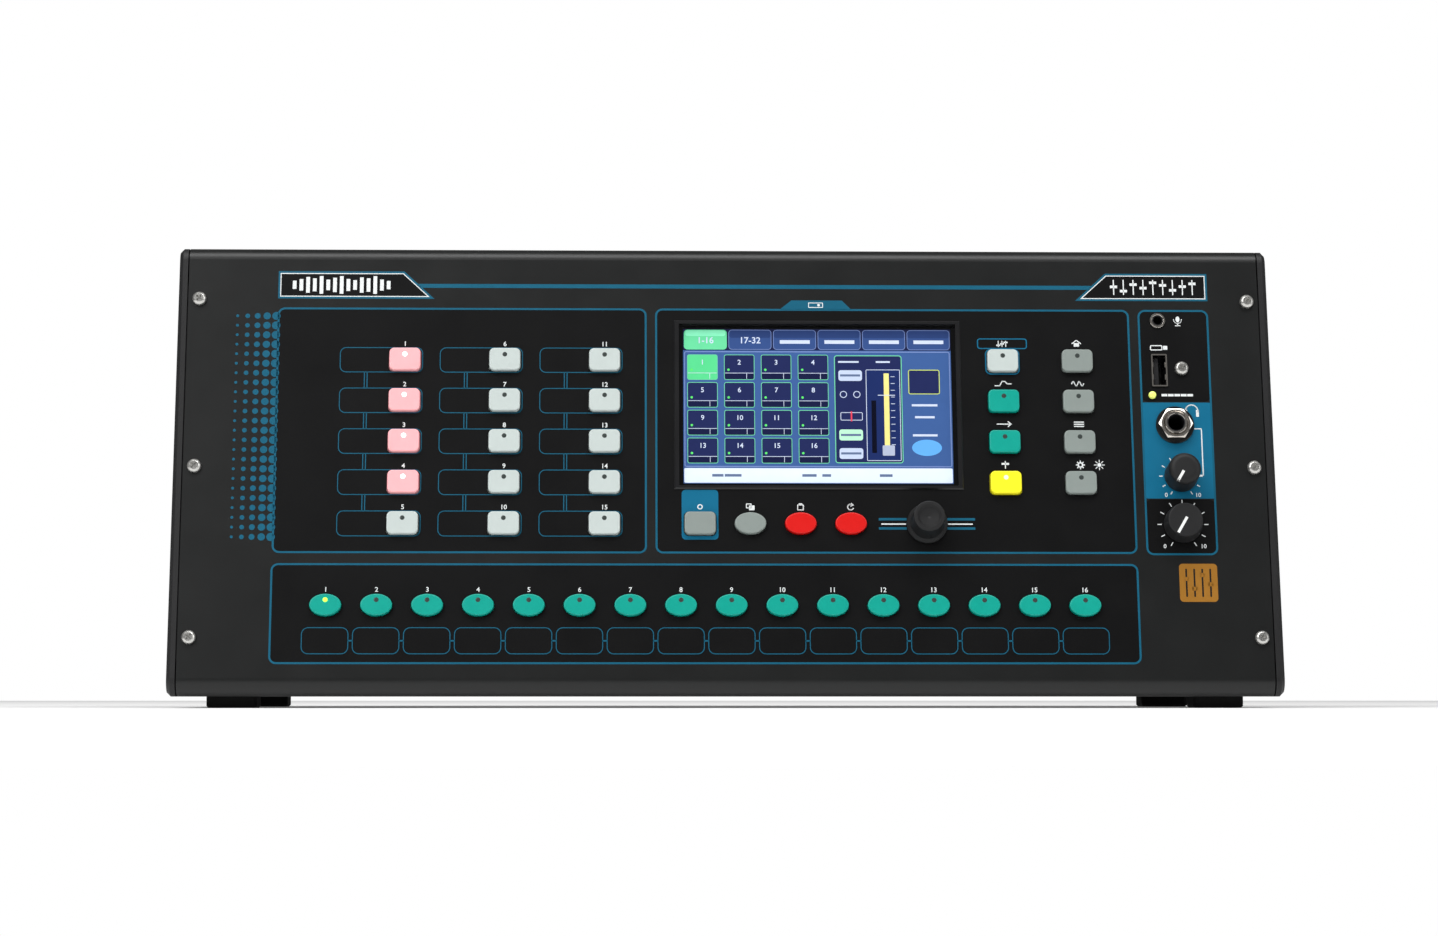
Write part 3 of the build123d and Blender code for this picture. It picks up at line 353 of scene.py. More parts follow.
# Pair of badges at the top, joined by a band, and the tab over the screen
badge_low = groups_high + 3.8
badge_high = groups_high + 15.4
left_badge = [(soft_left, badge_low), (soft_left + 62.8, badge_low),
              (soft_left + 50.6, badge_high), (soft_left, badge_high)]
right_badge = [(screen_right - 21.6, badge_low), (strip_right, badge_low),
               (strip_right, badge_high), (screen_right - 9.2, badge_high)]


def shrink(corners, by):
    """A four-cornered outline drawn inside another, at the same distance all round."""
    inside = []
    for i, corner in enumerate(corners):
        here = Vector(corner)
        before = (here - Vector(corners[i - 1])).normalized()
        after = (Vector(corners[(i + 1) % len(corners)]) - here).normalized()
        inwards = (Vector((-before.y, before.x)) + Vector((-after.y, after.x))).normalized()
        reach = by / max(inwards.dot(Vector((-after.y, after.x))), 0.2)
        inside.append(tuple(here + inwards * reach))
    return inside


badges = (left_badge, right_badge)
print_on("badge_fields", [[shrink(badge, 0.4)] for badge in badges], black_ink, black_level)
teal_lines += [[badge, shrink(badge, 0.75)] for badge in badges]
band_up = groups_high + 9.35
band_gap = 6.5
teal_lines += stroke([(left_badge[2][0] + band_gap, band_up), (right_badge[3][0] - band_gap, band_up)], 1.7)
tab_foot, tab_head = groups_high - 0.3, groups_high + 3.6
teal_lines.append([[(screen_place[0] - 15.0, tab_foot), (screen_place[0] + 14.0, tab_foot),
                    (screen_place[0] + 10.2, tab_head), (screen_place[0] - 10.2, tab_head)]])

# Lines each side of the encoder
for rise, width in ((2.0, 1.0), (-1.8, 1.0)):
    for near, far in ((-18.7, -8.6), (8.6, 18.7)):
        teal_lines += stroke([(encoder_place[0] + near, encoder_place[1] + rise),
                              (encoder_place[0] + far, encoder_place[1] + rise)], width)

# Dots that fade out towards the left edge
dot_rows = 24
dot_pitch = 4.0
dots_high = groups_high - 3.6
for inset, radius in ((-16.0, 0.6), (-12.0, 0.95), (-8.0, 1.2), (-4.2, 1.5), (-0.5, 1.7)):
    for row in range(dot_rows):
        teal_lines.append([disc(soft_left + inset, dots_high - row * dot_pitch, radius, points=14)])
print_on("teal_lines", teal_lines, teal_ink, teal_level)

# Blocks of solid teal: the strip's middle, the function key and the first control key
control_left, control_top = control_places[0]
teal_blocks = [
    [rounded(strip_left + 0.8, strip_lower_top + 0.4, strip_right - 0.8, strip_split - 0.4, 0.3),
     disc(*phones_jack_place, 4.9), disc(*phones_place, knob_hole)],
    [rounded(fn_place[0] - 7.3, fn_place[1] - 6.5, fn_place[0] + 7.3, fn_place[1] + 14.0, 1.6),
     pad(*fn_place, *key_hole)],
    border(control_left - 7.0, control_top - 5.6, control_left + 6.9, control_top + 5.2, 2.2, 0.5),
    border(control_left - 10.1, control_top + 5.2, control_left + 10.1, control_top + 9.7, 1.2, 0.45),
]
print_on("teal_blocks", teal_blocks, bright_teal_ink, teal_level)


# ---------------------------------------------------------------------------
# Numbers and small signs
# White screen print: a number over each soft and select key, scales round the two volume knobs, and simple
# signs in place of words.
# ---------------------------------------------------------------------------
figure_share = 0.7
figure_weight = 0.02
figure_half = 0.012


def add_number(work, text, x, y, height, surface=None):
    """A number of the given height, with its middle at x and its foot at y."""
    curve = bpy.data.curves.new("number", "FONT")
    curve.body = text
    curve.align_x = "CENTER"
    curve.size = height * mm / figure_share
    curve.offset = height * mm * figure_weight
    curve.extrude = figure_half * mm
    curve.resolution_u = 3
    writer = bpy.data.objects.new("number", curve)
    mesh = bpy.data.meshes.new_from_object(writer)
    lift = Matrix.Translation((x * mm, y * mm, (white_level - figure_half) * mm))
    mesh.transform((surface or on_panel()) @ lift)
    work.from_mesh(mesh)
    bpy.data.objects.remove(writer)
    bpy.data.curves.remove(curve)
    bpy.data.meshes.remove(mesh)


def arc(x, y, radius, start, end, steps=12):
    """Points along an arc; angles in degrees, anticlockwise from the right."""
    turns = [math.radians(start + (end - start) * i / steps) for i in range(steps + 1)]
    return [(x + radius * math.cos(turn), y + radius * math.sin(turn)) for turn in turns]


def bar(x, y, half_across, half_up, width):
    """A short straight line about its middle."""
    return stroke([(x - half_across, y - half_up), (x + half_across, y + half_up)], width)


def rays(x, y, inner, outer, angles, width):
    """Short lines that point away from a middle, at angles in degrees."""
    bars = []
    for angle in angles:
        turn = math.radians(angle)
        bars += stroke([(x + inner * math.cos(turn), y + inner * math.sin(turn)),
                        (x + outer * math.cos(turn), y + outer * math.sin(turn))], width)
    return bars


key_figure = 1.9
scale_figure = 1.7
numbers = bmesh.new()
for places, rise in ((soft_places, 5.9), (select_places, 5.6)):
    for i, (x, y) in enumerate(places, start=1):
        add_number(numbers, str(i), x, y + rise, key_figure)
for (x, y), reach, drop in ((alt_place, 7.5, 8.6), (phones_place, 6.2, 7.4)):
    add_number(numbers, "0", x - reach, y - drop - 1.2, scale_figure)
    add_number(numbers, "10", x + reach + 0.4, y - drop - 1.2, scale_figure)
make_piece("panel_numbers", numbers, white_ink)

# Level bars in the left badge and a row of sliders in the right badge
signs = [[shrink(badge, 0.8), shrink(badge, 1.15)] for badge in badges]
badge_middle = (badge_low + badge_high) / 2
level_bars = (2.0, 3.4, 5.2, 4.0, 6.0, 3.0, 4.6, 6.0, 3.6, 2.6, 5.0, 4.2, 6.0, 3.2, 2.0)
for i, tall in enumerate(level_bars):
    signs += bar(soft_left + 6.5 + i * 2.7, badge_middle, 0, tall / 2, 1.5)
for i, rise in enumerate((1.6, 0.4, -1.2, 0.9, 2.0, -0.3, 1.2, -1.6, 0.2)):
    x = strip_right - 6.0 - i * 4.0
    signs += bar(x, badge_middle, 0, 3.0, 0.45) + bar(x, badge_middle + rise, 0.9, 0, 1.1)

# Ticks round the volume knobs, from the seven o'clock stop to the five o'clock stop
tick_angles = [240 - 30 * i for i in range(11)]
signs += rays(*alt_place, 8.7, 10.0, tick_angles, 0.4) + rays(*phones_place, 7.5, 8.5, tick_angles, 0.4)

# Headphones, with the line that ties the jack to its volume knob
jack_x, jack_y = phones_jack_place
signs += stroke(arc(jack_x + 7.0, jack_y + 6.0, 2.5, -10, 190), 0.5)
for side in (-1, 1):
    signs += bar(jack_x + 7.0 + side * 2.3, jack_y + 5.0, 0, 0.9, 1.1)
tie_x, tie_y = jack_x + 10.6, phones_place[1] + 0.4
signs += stroke([(jack_x + 7.9, jack_y - 1.5), (tie_x, jack_y - 1.5), (tie_x, tie_y),
                 (tie_x - 1.6, tie_y)], 0.45)

# Memory stick, small jack, power light and the screen tab
x, y = memory_place[0], memory_place[1] + 9.6
signs.append(border(x - 3.4, y - 1.1, x + 1.6, y + 1.1, 0.5, 0.4))
signs.append([rounded(x + 1.9, y - 0.8, x + 3.6, y + 0.8, 0.15)])
x, y = small_jack_place[0] + 8.2, small_jack_place[1]
signs.append([disc(x, y + 0.6, 0.8, 1.2)])
signs += stroke(arc(x, y + 0.5, 1.6, 180, 360), 0.35)
signs += bar(x, y - 1.5, 0, 0.5, 0.35) + bar(x, y - 2.1, 0.9, 0, 0.35)
for i in range(5):
    signs += bar(light_place[0] + 4.85 + i * 2.6, light_place[1], 0.65, 0, 1.0)
x, y = screen_place[0] - 0.4, groups_high + 1.6
signs.append(border(x - 3.0, y - 1.1, x + 3.0, y + 1.1, 0.3, 0.3))
signs.append([disc(x + 1.2, y, 0.55, points=16)])

# White line each side of the encoder
for middle in (-13.3, 13.3):
    signs += bar(encoder_place[0] + middle, encoder_place[1], 4.7, 0, 0.5)

# Signs over the control keys: sliders, a curve, an arrow, a plus, a house, a wave, a list and a gear
x, y = control_left, control_top + 7.4
for side in (-1.5, 0, 1.5):
    signs += bar(x + side, y, 0, 1.1, 0.35) + bar(x + side, y + side * 0.4, 0.5, 0, 0.6)
sign_places = [(x, y + 7.6) for x, y in control_places]
x, y = sign_places[1]
signs += stroke([(x - 3.2, y - 0.9), (x - 1.4, y - 0.9), (x - 0.4, y + 0.9), (x + 0.8, y + 0.9),
                 (x + 1.6, y - 0.1), (x + 3.2, y - 0.1)], 0.4)
x, y = sign_places[2]
signs += bar(x, y, 2.8, 0, 0.4) + stroke([(x + 1.6, y + 1.0), (x + 2.8, y), (x + 1.6, y - 1.0)], 0.4)
x, y = sign_places[3]
signs += bar(x, y, 0, 1.4, 0.4) + bar(x, y + 0.4, 1.1, 0, 0.8)
x, y = sign_places[4]
signs += stroke([(x - 1.7, y), (x, y + 1.4), (x + 1.7, y)], 0.4)
signs.append([rounded(x - 1.1, y - 1.3, x + 1.1, y + 0.2, 0.1)])
x, y = sign_places[5]
signs += stroke([(x - 2.4 + i * 0.4, y + 1.0 * math.sin(i * math.pi / 3)) for i in range(13)], 0.4)
x, y = sign_places[6]
for shift in (-0.9, 0, 0.9):
    signs += bar(x, y + shift, 1.8, 0, 0.45)
x, y = sign_places[7]
eighths = [45 * i for i in range(8)]
signs.append([disc(x, y, 1.2), disc(x, y, 0.6, points=16)])
signs += rays(x, y, 1.1, 1.6, eighths, 0.45)

# A lamp beside the gear, a ring over the function key and signs over the edit keys
signs.append([disc(x + 7.6, y, 0.8, points=16)])
signs += rays(x + 7.6, y, 1.2, 2.0, eighths, 0.3)
edit_rise = 7.0
x, y = fn_place[0], fn_place[1] + edit_rise
signs.append([disc(x, y, 1.1, points=20), disc(x, y, 0.65, points=16)])
copy_sign, paste_sign, reset_sign = ((x, y + edit_rise) for x, y in edit_places)
x, y = copy_sign
signs.append(border(x - 1.7, y - 0.6, x + 0.5, y + 1.4, 0.2, 0.35))
signs.append([rounded(x - 0.5, y - 1.4, x + 1.7, y + 0.6, 0.2)])
x, y = paste_sign
signs.append(border(x - 1.3, y - 1.4, x + 1.3, y + 1.0, 0.2, 0.35))
signs.append([rounded(x - 0.7, y + 0.6, x + 0.7, y + 1.5, 0.1)])
x, y = reset_sign
signs += stroke(arc(x, y, 1.2, 40, 330), 0.4)
signs += stroke([(x + 0.3, y + 1.5), (x + 1.1, y + 0.8), (x + 0.1, y + 0.4)], 0.35)
print_on("white_signs", signs, white_ink, white_level)

# Gold plate sign low on the right
gold_ink = finish("gold_ink", paint(172, 118, 44), 0.38, metallic=0.3, patchy=0.08, patch=6.0)
gold_left, gold_low = strip_right - 16.0, groups_low - 19.6
gold_right, gold_high = gold_left + 15.2, gold_low + 15.6
gold_sliders = [(gold_left + 2.8 + i * 3.2, gold_low + rise) for i, rise in enumerate((9.4, 5.4, 11.0, 7.2))]
gold_slots = [rounded(x - 0.35, gold_low + 2.0, x + 0.35, gold_high - 2.0, 0.3, steps=3)
              for x, y in gold_sliders]
gold_shapes = [[rounded(gold_left, gold_low, gold_right, gold_high, 1.5)] + gold_slots]
gold_shapes += [[pad(x, y, 1.1, 0.8, 0.3, steps=3)] for x, y in gold_sliders]
print_on("gold_sign", gold_shapes, gold_ink, white_level)


# ---------------------------------------------------------------------------
# Touch screen
# A five inch display under flat glass, in a black moulded bezel that is set in
# the panel. The picture shows pages, channels, a fader and a status bar.
# ---------------------------------------------------------------------------
bezel_plastic = finish("bezel_plastic", paint(24, 24, 26), 0.32, patchy=0.06, grain=0.03, grain_size=0.3)
screen_glass = finish("screen_glass", paint(10, 11, 14), 0.05, patchy=0.05, shine=0.5)
coat("screen_bezel", bezel_plastic)
coat("touch_screen", screen_glass)

picture_width = 108.0
picture_height = 64.8
picture_out = -1.97
picture_left = screen_place[0] - picture_width / 2
picture_top = screen_place[1] + picture_height / 2
picture_layer = 0.012


def tile(left, top, width, height, corner=0.9, line_width=0.0):
    """A box of the picture, measured from the picture's top left corner."""
    x, y = picture_left + left, picture_top - top
    if line_width:
        return border(x, y - height, x + width, y, corner, line_width)
    return [rounded(x, y - height, x + width, y, corner, steps=4)]


def lit(name, look, glow):
    """A colour of the display, lit from behind and seen through polished glass."""
    return finish(f"display_{name}", paint(*look), 0.12, patchy=0.05, patch=6.0, shine=0.3, glow=glow)


def show(name, layer, look, shapes, glow=0.55):
    """One colour of the picture, laid on the display."""
    work = bmesh.new()
    for shape in shapes:
        add_slab(work, shape, on_panel(out=picture_out), (layer - 1) * picture_layer, layer * picture_layer)
    make_piece(f"picture_{name}", work, lit(name, look, glow))


tab_width = picture_width / 6
tab_height = 9.0
tabs = [(i * tab_width + 0.35, 0.3, tab_width - 0.7, tab_height - 0.6, 1.4) for i in range(6)]
grid_left, grid_top = 1.6, 10.8
grid_pitch_x, grid_pitch_y = 14.85, 11.65
tile_width, tile_height = 12.3, 10.7
tile_places = [(grid_left + i * grid_pitch_x, grid_top + row * grid_pitch_y)
               for row in range(4) for i in range(4)]
tiles = [(left, top, tile_width, tile_height) for left, top in tile_places]
channel_box = (60.8, 11.0, 27.3, 45.3, 1.2)
fader_well = (73.5, 17.0, 13.8, 38.3, 0.5)
group_tile = (90.6, 17.0, 12.7, 10.4, 0.9)
small_well = (63.1, 35.0, 8.9, 3.4, 0.5)
status_top = 58.4

show("ground", 1, (56, 82, 130), [tile(0, 0, picture_width, picture_height, 0.2)])
show("gaps", 2, (30, 34, 62), [tile(0, 0, picture_width, tab_height, 0.2)])
show("tabs", 3, (50, 70, 116), [tile(*tab) for tab in tabs[1:]])
show("open_tab", 3, (92, 186, 136), [tile(*tabs[0])])
tab_shade = [tile(i * tab_width + 0.6, 0.5, tab_width - 1.2, 3.2, 1.0) for i in range(1, 6)]
show("tab_shade", 4, (42, 58, 100), tab_shade)
show("tab_shine", 4, (118, 206, 164), [tile(0.9, 0.6, tab_width - 1.8, 2.4)])
show("chosen_tile", 4, (78, 184, 122), [tile(*tiles[0])])
show("navy", 2, (34, 40, 76), [tile(*box) for box in tiles + [channel_box, group_tile]])
tile_feet = [tile(left + 0.3, top + 8.0, tile_width - 0.6, 2.4, 0.6) for left, top in tile_places[1:]]
show("tile_feet", 3, (28, 32, 62), tile_feet, glow=0.3)
show("fader_well", 3, (30, 42, 84), [tile(*fader_well)])
show("meter", 4, (16, 18, 34), [tile(75.6, 30.0, 1.9, 22.0, 0.2)], glow=0.2)
page_outline = tile(0.4, 9.4, picture_width - 0.8, status_top - 9.9, 0.9, 0.4)
show("outlines", 5, (104, 122, 168), [page_outline] + [tile(*tab, 0.22) for tab in tabs[1:]])
green_outlines = [tile(*box, 0.9, 0.26) for box in tiles] + [tile(*channel_box, 0.36)]
show("green_outlines", 5, (96, 176, 138), green_outlines)
show("group_outline", 5, (170, 184, 96), [tile(*group_tile, 0.34)])
show("well_outline", 5, (176, 186, 206), [tile(*fader_well, 0.25), tile(*small_well, 0.25)])
show("buttons", 6, (168, 180, 204), [tile(62.5, top, 9.5, 4.5, 1.0) for top in (17.3, 50.0)])
show("green_button", 6, (158, 206, 176), [tile(62.5, 42.2, 9.5, 4.6, 1.0)])
status_bar = tile(0.3, status_top, picture_width - 0.6, picture_height - status_top - 0.3, 0.5)
show("status_bar", 6, (196, 208, 222), [status_bar])
show("fader", 6, (206, 196, 120), [tile(80.7, 18.6, 2.1, 30.6, 0.3)])
show("knob", 7, (150, 158, 178), [tile(79.8, 48.8, 4.9, 4.3, 0.4)])
show("oval", 6, (86, 148, 206), [[disc(picture_left + 97.6, picture_top - 49.8, 6.0, 3.4)]])
show("red_mark", 6, (200, 62, 78), [tile(67.2, 34.6, 0.6, 4.2, 0.1)])
dots = [[disc(picture_left + left + 1.8, picture_top - top - 6.4, 0.5)] for left, top in tile_places]
show("dots", 6, (84, 196, 96), dots)


def line_at(left, top, length, thickness=0.3):
    """A level line of the picture, measured from its top left corner."""
    x, y = picture_left + left, picture_top - top
    return stroke([(x, y), (x + length, y)], thickness)


marks = []
for i in range(11):
    marks += line_at(83.6, 20.0 + i * 2.85, 1.4, 0.22)
marks += line_at(78.4, 27.8, 6.6, 0.3)
for left, top in tile_places:
    marks += line_at(left + 0.5, top + 7.8, tile_width - 1.0, 0.2)
    marks.append(tile(left + 9.0, top + 7.9, 0.2, 2.3, 0.02))
for x in (64.4, 69.8):
    marks += stroke(arc(picture_left + x, picture_top - 27.5, 1.3, 0, 360, steps=16), 0.3)
marks += line_at(62.8, 13.8, 7.6, 0.7)
marks += line_at(78.0, 13.8, 5.0, 0.7)
for top, length in ((32.0, 9.4), (37.0, 7.0), (44.6, 9.0)):
    marks += line_at(97.0 - length / 2, top, length, 0.9)
for i in range(2, 6):
    marks += line_at((i + 0.5) * tab_width - 5.2, 5.4, 6.2, 1.5)
    marks += line_at((i + 0.5) * tab_width + 2.4, 5.4, 3.0, 1.5)
work = bmesh.new()
for shape in marks:
    add_slab(work, shape, on_panel(out=picture_out), 0, 7 * picture_layer)
figures = on_panel(out=picture_out + 6.5 * picture_layer - white_level)
for i, (left, top) in enumerate(tile_places, start=1):
    add_number(work, str(i), picture_left + left + tile_width / 2, picture_top - top - 4.2, 2.0, figures)
for i, text in enumerate(("1-16", "17-32")):
    add_number(work, text, picture_left + tab_width * (i + 0.5), picture_top - 6.0, 2.6, figures)
make_piece("picture_marks", work, lit("marks", (176, 186, 206), 0.55))

dark_marks = []
for left, length in ((12.0, 3.4), (17.0, 5.6), (48.0, 4.6), (56.0, 2.4), (79.0, 4.0)):
    dark_marks += line_at(left, 61.4, length, 1.1)
for top in (19.5, 44.5, 52.2):
    dark_marks += line_at(63.6, top, 7.2, 0.9)
show("dark_marks", 8, (92, 108, 138), dark_marks, glow=0.3)


# ---------------------------------------------------------------------------
# Keys
# Moulded caps of tinted, slightly clear plastic. Soft, select and control keys
# have a small light window near the top; some are lit from below.
# ---------------------------------------------------------------------------
key_colours = {
    "key_pink": finish("key_pink_lit", paint(250, 176, 180), 0.36, patchy=0.04, patch=4.0, grain=0.02,
                       shine=0.3, glow=0.12),
    "key_yellow": finish("key_yellow_lit", paint(244, 234, 40), 0.38, patchy=0.04, patch=4.0, grain=0.02,
                         shine=0.4, glow=0.15),
}
for name, look, roughness, patchy in (
    ("key_white", (196, 206, 203), 0.38, 0.03), ("key_grey", (138, 147, 143), 0.4, 0.05),
    ("key_teal", (0, 160, 143), 0.36, 0.05), ("key_red", (216, 22, 18), 0.38, 0.05),
):
    key_colours[name] = finish(name, paint(*look), roughness, patchy=patchy, patch=5.0, grain=0.02, shine=0.4)
for entry in frame["record"]["subparts"]:
    if entry["material_slot"] in key_colours:
        coat(entry["node"], key_colours[entry["material_slot"]])

dark_lens = finish("dark_lens", paint(64, 70, 68), 0.16, patchy=0.1, patch=1.5)
white_lens = finish("lit_white_lens", paint(255, 250, 248), 0.2, patchy=0.03, patch=1.5, glow=2.2)
yellow_lens = finish("lit_yellow_lens", paint(255, 252, 150), 0.2, patchy=0.03, patch=1.5, glow=1.8)
green_lens = finish("lit_green_lens", paint(150, 255, 60), 0.2, patchy=0.03, patch=1.5, glow=2.4)


def add_skin(work, rings, at, closed=False):
    """Joins rings of (x, y, z) points, in millimetres, into one skin; one point alone closes an end."""
    rows = [[work.verts.new(at @ (Vector(point) * mm)) for point in ring] for ring in rings]
    pairs = list(zip(rows, rows[1:])) + ([(rows[-1], rows[0])] if closed else [])
    for lower, upper in pairs:
        count = max(len(lower), len(upper))
        for i in range(count):
            j = (i + 1) % count
            corners = [lower[i % len(lower)], lower[j % len(lower)],
                       upper[j % len(upper)], upper[i % len(upper)]]
            work.faces.new(list(dict.fromkeys(corners)))
    return rows


def add_turned(work, outline, at, sides=40, closed=False):
    """A turned shape about the Z of its frame, from (radius, height) points in millimetres."""
    rings = []
    for radius, height in outline:
        turns = [2 * math.pi * i / sides for i in range(sides)] if radius else [0]
        rings.append([(radius * math.cos(turn), radius * math.sin(turn), height) for turn in turns])
    add_skin(work, rings, at, closed)


key_proud = 1.9
lens_rise = 1.9
lens_outline = [(0, -0.6), (0.95, -0.6), (0.95, 0.02), (0.85, 0.12), (0.5, 0.2), (0, 0.23)]
lens_keys = [(f"soft_key_{i:02d}", white_lens if i <= 4 else dark_lens) for i in range(1, 16)]
lens_keys += [(f"select_key_{i:02d}", green_lens if i == 1 else dark_lens) for i in range(1, 17)]
lens_keys += [(f"control_key_{i}", yellow_lens if i == 4 else dark_lens) for i in range(1, 9)]
for node, lens in lens_keys:
    x, y = place_of(node)
    work = bmesh.new()
    add_turned(work, lens_outline, on_panel(x, y + lens_rise, key_proud), sides=20)
    make_piece(f"{node}_window", work, lens, body=node, smooth=True)


# ---------------------------------------------------------------------------
# Knobs
# Soft-touch black mouldings. The two volume knobs carry a white pointer line
# that stands at the low end of the scale; the encoder has a dished top.
# ---------------------------------------------------------------------------
soft_touch = finish("soft_touch_black", paint(30, 30, 31), 0.55, patchy=0.1, patch=5.0, grain=0.04,
                    grain_size=0.25, shine=0.35)
pointer_white = finish("pointer_white", paint(238, 240, 238), 0.45, patchy=0.04, patch=3.0)
for node in ("encoder_knob", "phones_knob", "alt_knob"):
    coat(node, soft_touch)

low_stop = math.radians(240)
pointer_width = 1.1
pointer_lift = 0.05


def add_pointer(name, place, path):
    """A pointer line over a knob, along (radius, height) points towards the low stop."""
    half = pointer_width / 2
    rings = [[(radius, -half, height + pointer_lift), (radius, half, height + pointer_lift),
              (radius, half, height), (radius, -half, height)] for radius, height in path]
    work = bmesh.new()
    rows = add_skin(work, rings, on_panel(*place) @ Matrix.Rotation(low_stop, 4, "Z"))
    for end in (rows[0], rows[-1]):
        work.faces.new(end)
    make_piece(f"{name}_pointer", work, pointer_white, body=f"{name}_knob")


knob_gap = 0.6
phones_top = knob_gap + 12.6
phones_round = 2.6
phones_flat = 6.7 - 0.3 - phones_round
over_round = phones_round + 0.03
phones_path = [(1.6, phones_top), (phones_flat, phones_top)]
for i in range(1, 6):
    turn = math.radians(15 * i)
    phones_path.append((phones_flat + over_round * math.sin(turn),
                        phones_top - phones_round + phones_round * math.cos(turn)))
add_pointer("phones", phones_place, phones_path)
alt_top = knob_gap + 7.2
add_pointer("alt", alt_place, [(-1.2, alt_top), (6.2, alt_top)])


# ---------------------------------------------------------------------------
# Screws, washer and nut
# Bright zinc pan heads with a cross recess hold the panel, flush ones hold the
# side plates, and a nickel hex nut over a dark washer clamps the jack.
# ---------------------------------------------------------------------------
zinc = finish("bright_zinc", paint(205, 204, 200), 0.28, metallic=0.9, patchy=0.1, patch=1.2, grain=0.015,
              grain_size=0.15)
nickel = finish("nickel_plate", paint(214, 208, 200), 0.16, metallic=1.0, patchy=0.06, patch=2.0)
dark_washer = finish("dark_washer", paint(40, 42, 44), 0.35, metallic=0.6, patchy=0.12, patch=2.0)


def cross(reach, half):
    """The outline of a cross recess."""
    return [(reach, -half), (reach, half), (half, half), (half, reach), (-half, reach), (-half, half),
            (-reach, half), (-reach, -half), (-half, -half), (-half, -reach), (half, -reach), (half, -half)]


def add_screw_head(work, outline, at, reach, half, depth):
    """A screw head: a turned rim from its (radius, height) points, and a top with a cross recess."""
    flat, top = outline[-1]
    add_turned(work, outline + [(flat, outline[0][1])], at, sides=36, closed=True)
    add_slab(work, [disc(0, 0, flat, points=36), cross(reach, half)], at, top - depth, top)
    add_slab(work, [disc(0, 0, flat, points=36)], at, outline[0][1], top - depth)


def add_pan_screw(work, at, spin):
    """An M3 pan head screw with its shank, turned to where it was driven."""
    outline = [(2.8, 0), (2.8, 0.75), (2.66, 1.2), (2.3, 1.6), (1.75, 1.9)]
    add_screw_head(work, outline, at @ Matrix.Rotation(spin, 4, "Z"), 1.4, 0.36, 0.9)
    add_turned(work, [(0, -6.0), (1.5, -6.0), (1.5, 0), (0, 0)], at, sides=24)


panel_half = panel_high.x / mm
panel_screws = [(side * (panel_half - 4.5), 23.7 + 70.0 * i) for side in (-1, 1) for i in range(3)]
work = bmesh.new()
for x, y in panel_screws + [strip_screw_place]:
    add_pan_screw(work, on_panel(x, y), 0.3 + x)
panel_screw_piece = make_piece("panel_screws", work, zinc, smooth=True)
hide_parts("fasteners")

side_wall = cad_high.x / mm
case_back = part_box("chassis_tray")[1][1] / mm
cover_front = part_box("top_cover")[0][1] / mm
tray_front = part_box("chassis_tray")[0][1] / mm
console_top = cad_high.z / mm
cover_screw_up = console_top - 8.5
tray_screw_up = panel_low.z / mm + 8.5
side_screw_places = [(cover_front + 20.0, cover_screw_up), (case_back - 25.0, cover_screw_up),
                     (tray_front + 20.0, tray_screw_up), (case_back - 25.0, tray_screw_up)]


def on_side(side, y, z):
    """A place on a side plate's outer face, with Z pointing out of it."""
    out = Vector((side, 0, 0))
    turn = Matrix((Vector((0, 0, 1)).cross(out), Vector((0, 0, 1)), out)).transposed()
    return Matrix.Translation((side * side_wall * mm, y * mm, z * mm)) @ turn.to_4x4()


flush_outline = [(2.0, -1.8), (3.75, -0.08), (3.6, 0)]
work = bmesh.new()
for side in (-1, 1):
    for y, z in side_screw_places:
        at = on_side(side, y, z) @ Matrix.Rotation(y, 4, "Z")
        add_screw_head(work, flush_outline, at, 1.9, 0.45, 1.2)
        add_turned(work, [(0, -9.0), (2.0, -9.0), (2.0, -1.8), (0, -1.8)], at, sides=24)
side_screw_piece = make_piece("side_screws", work, dark_washer, smooth=True)
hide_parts("fasteners")


def behind(across, up, out=0.0):
    """A place on the rear wall, as seen from behind, with Z pointing out of it."""
    turn = Matrix((Vector((-1, 0, 0)), Vector((0, 0, 1)), Vector((0, 1, 0)))).transposed()
    return Matrix.Translation((-across * mm, (case_back + out) * mm, up * mm)) @ turn.to_4x4()


lip_screw_pitch = 98.0
work = bmesh.new()
for i in range(5):
    add_pan_screw(work, behind((i - 2) * lip_screw_pitch, console_top - 6.0), 0.4 * i)
lip_screw_piece = make_piece("lip_screws", work, dark_washer, smooth=True)
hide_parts("fasteners")


chamfer_share = 0.95
chamfer_slope = 0.55
bore_chamfer = 0.4


def add_hex_nut(work, at, flats, thick, bore, sides=48):
    """A hexagon nut with its corners chamfered, standing on its frame."""
    half = flats / 2
    turns = [2 * math.pi * i / sides for i in range(sides)]
    reaches = [half / math.cos((turn + math.pi / 6) % (math.pi / 3) - math.pi / 6) for turn in turns]
    flat = half * chamfer_share

    def ring(radii, heights):
        return [(r * math.sin(turn), r * math.cos(turn), h) for r, h, turn in zip(radii, heights, turns)]

    shoulder = [thick - (reach - flat) * chamfer_slope for reach in reaches]
    add_skin(work, [
        ring([bore] * sides, [0] * sides), ring(reaches, [0] * sides), ring(reaches, shoulder),
        ring([flat] * sides, [thick] * sides), ring([bore + bore_chamfer] * sides, [thick] * sides),
        ring([bore] * sides, [thick - bore_chamfer] * sides),
    ], at, closed=True)


turn_flat = Matrix.Rotation(math.radians(30), 4, "Z")
washer_outline = [(4.65, 0), (7.7, 0), (7.7, 0.6), (7.4, 0.9), (4.65, 0.9)]
work = bmesh.new()
add_turned(work, washer_outline, on_panel(*phones_jack_place), sides=56, closed=True)
washer_piece = make_piece("jack_washer", work, dark_washer, smooth=True)
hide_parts("fasteners")
work = bmesh.new()
add_hex_nut(work, on_panel(*phones_jack_place, 0.92), 12.0, 2.6, 4.65)
nut_piece = make_piece("jack_nut", work, nickel, smooth=True)
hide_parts("fasteners")


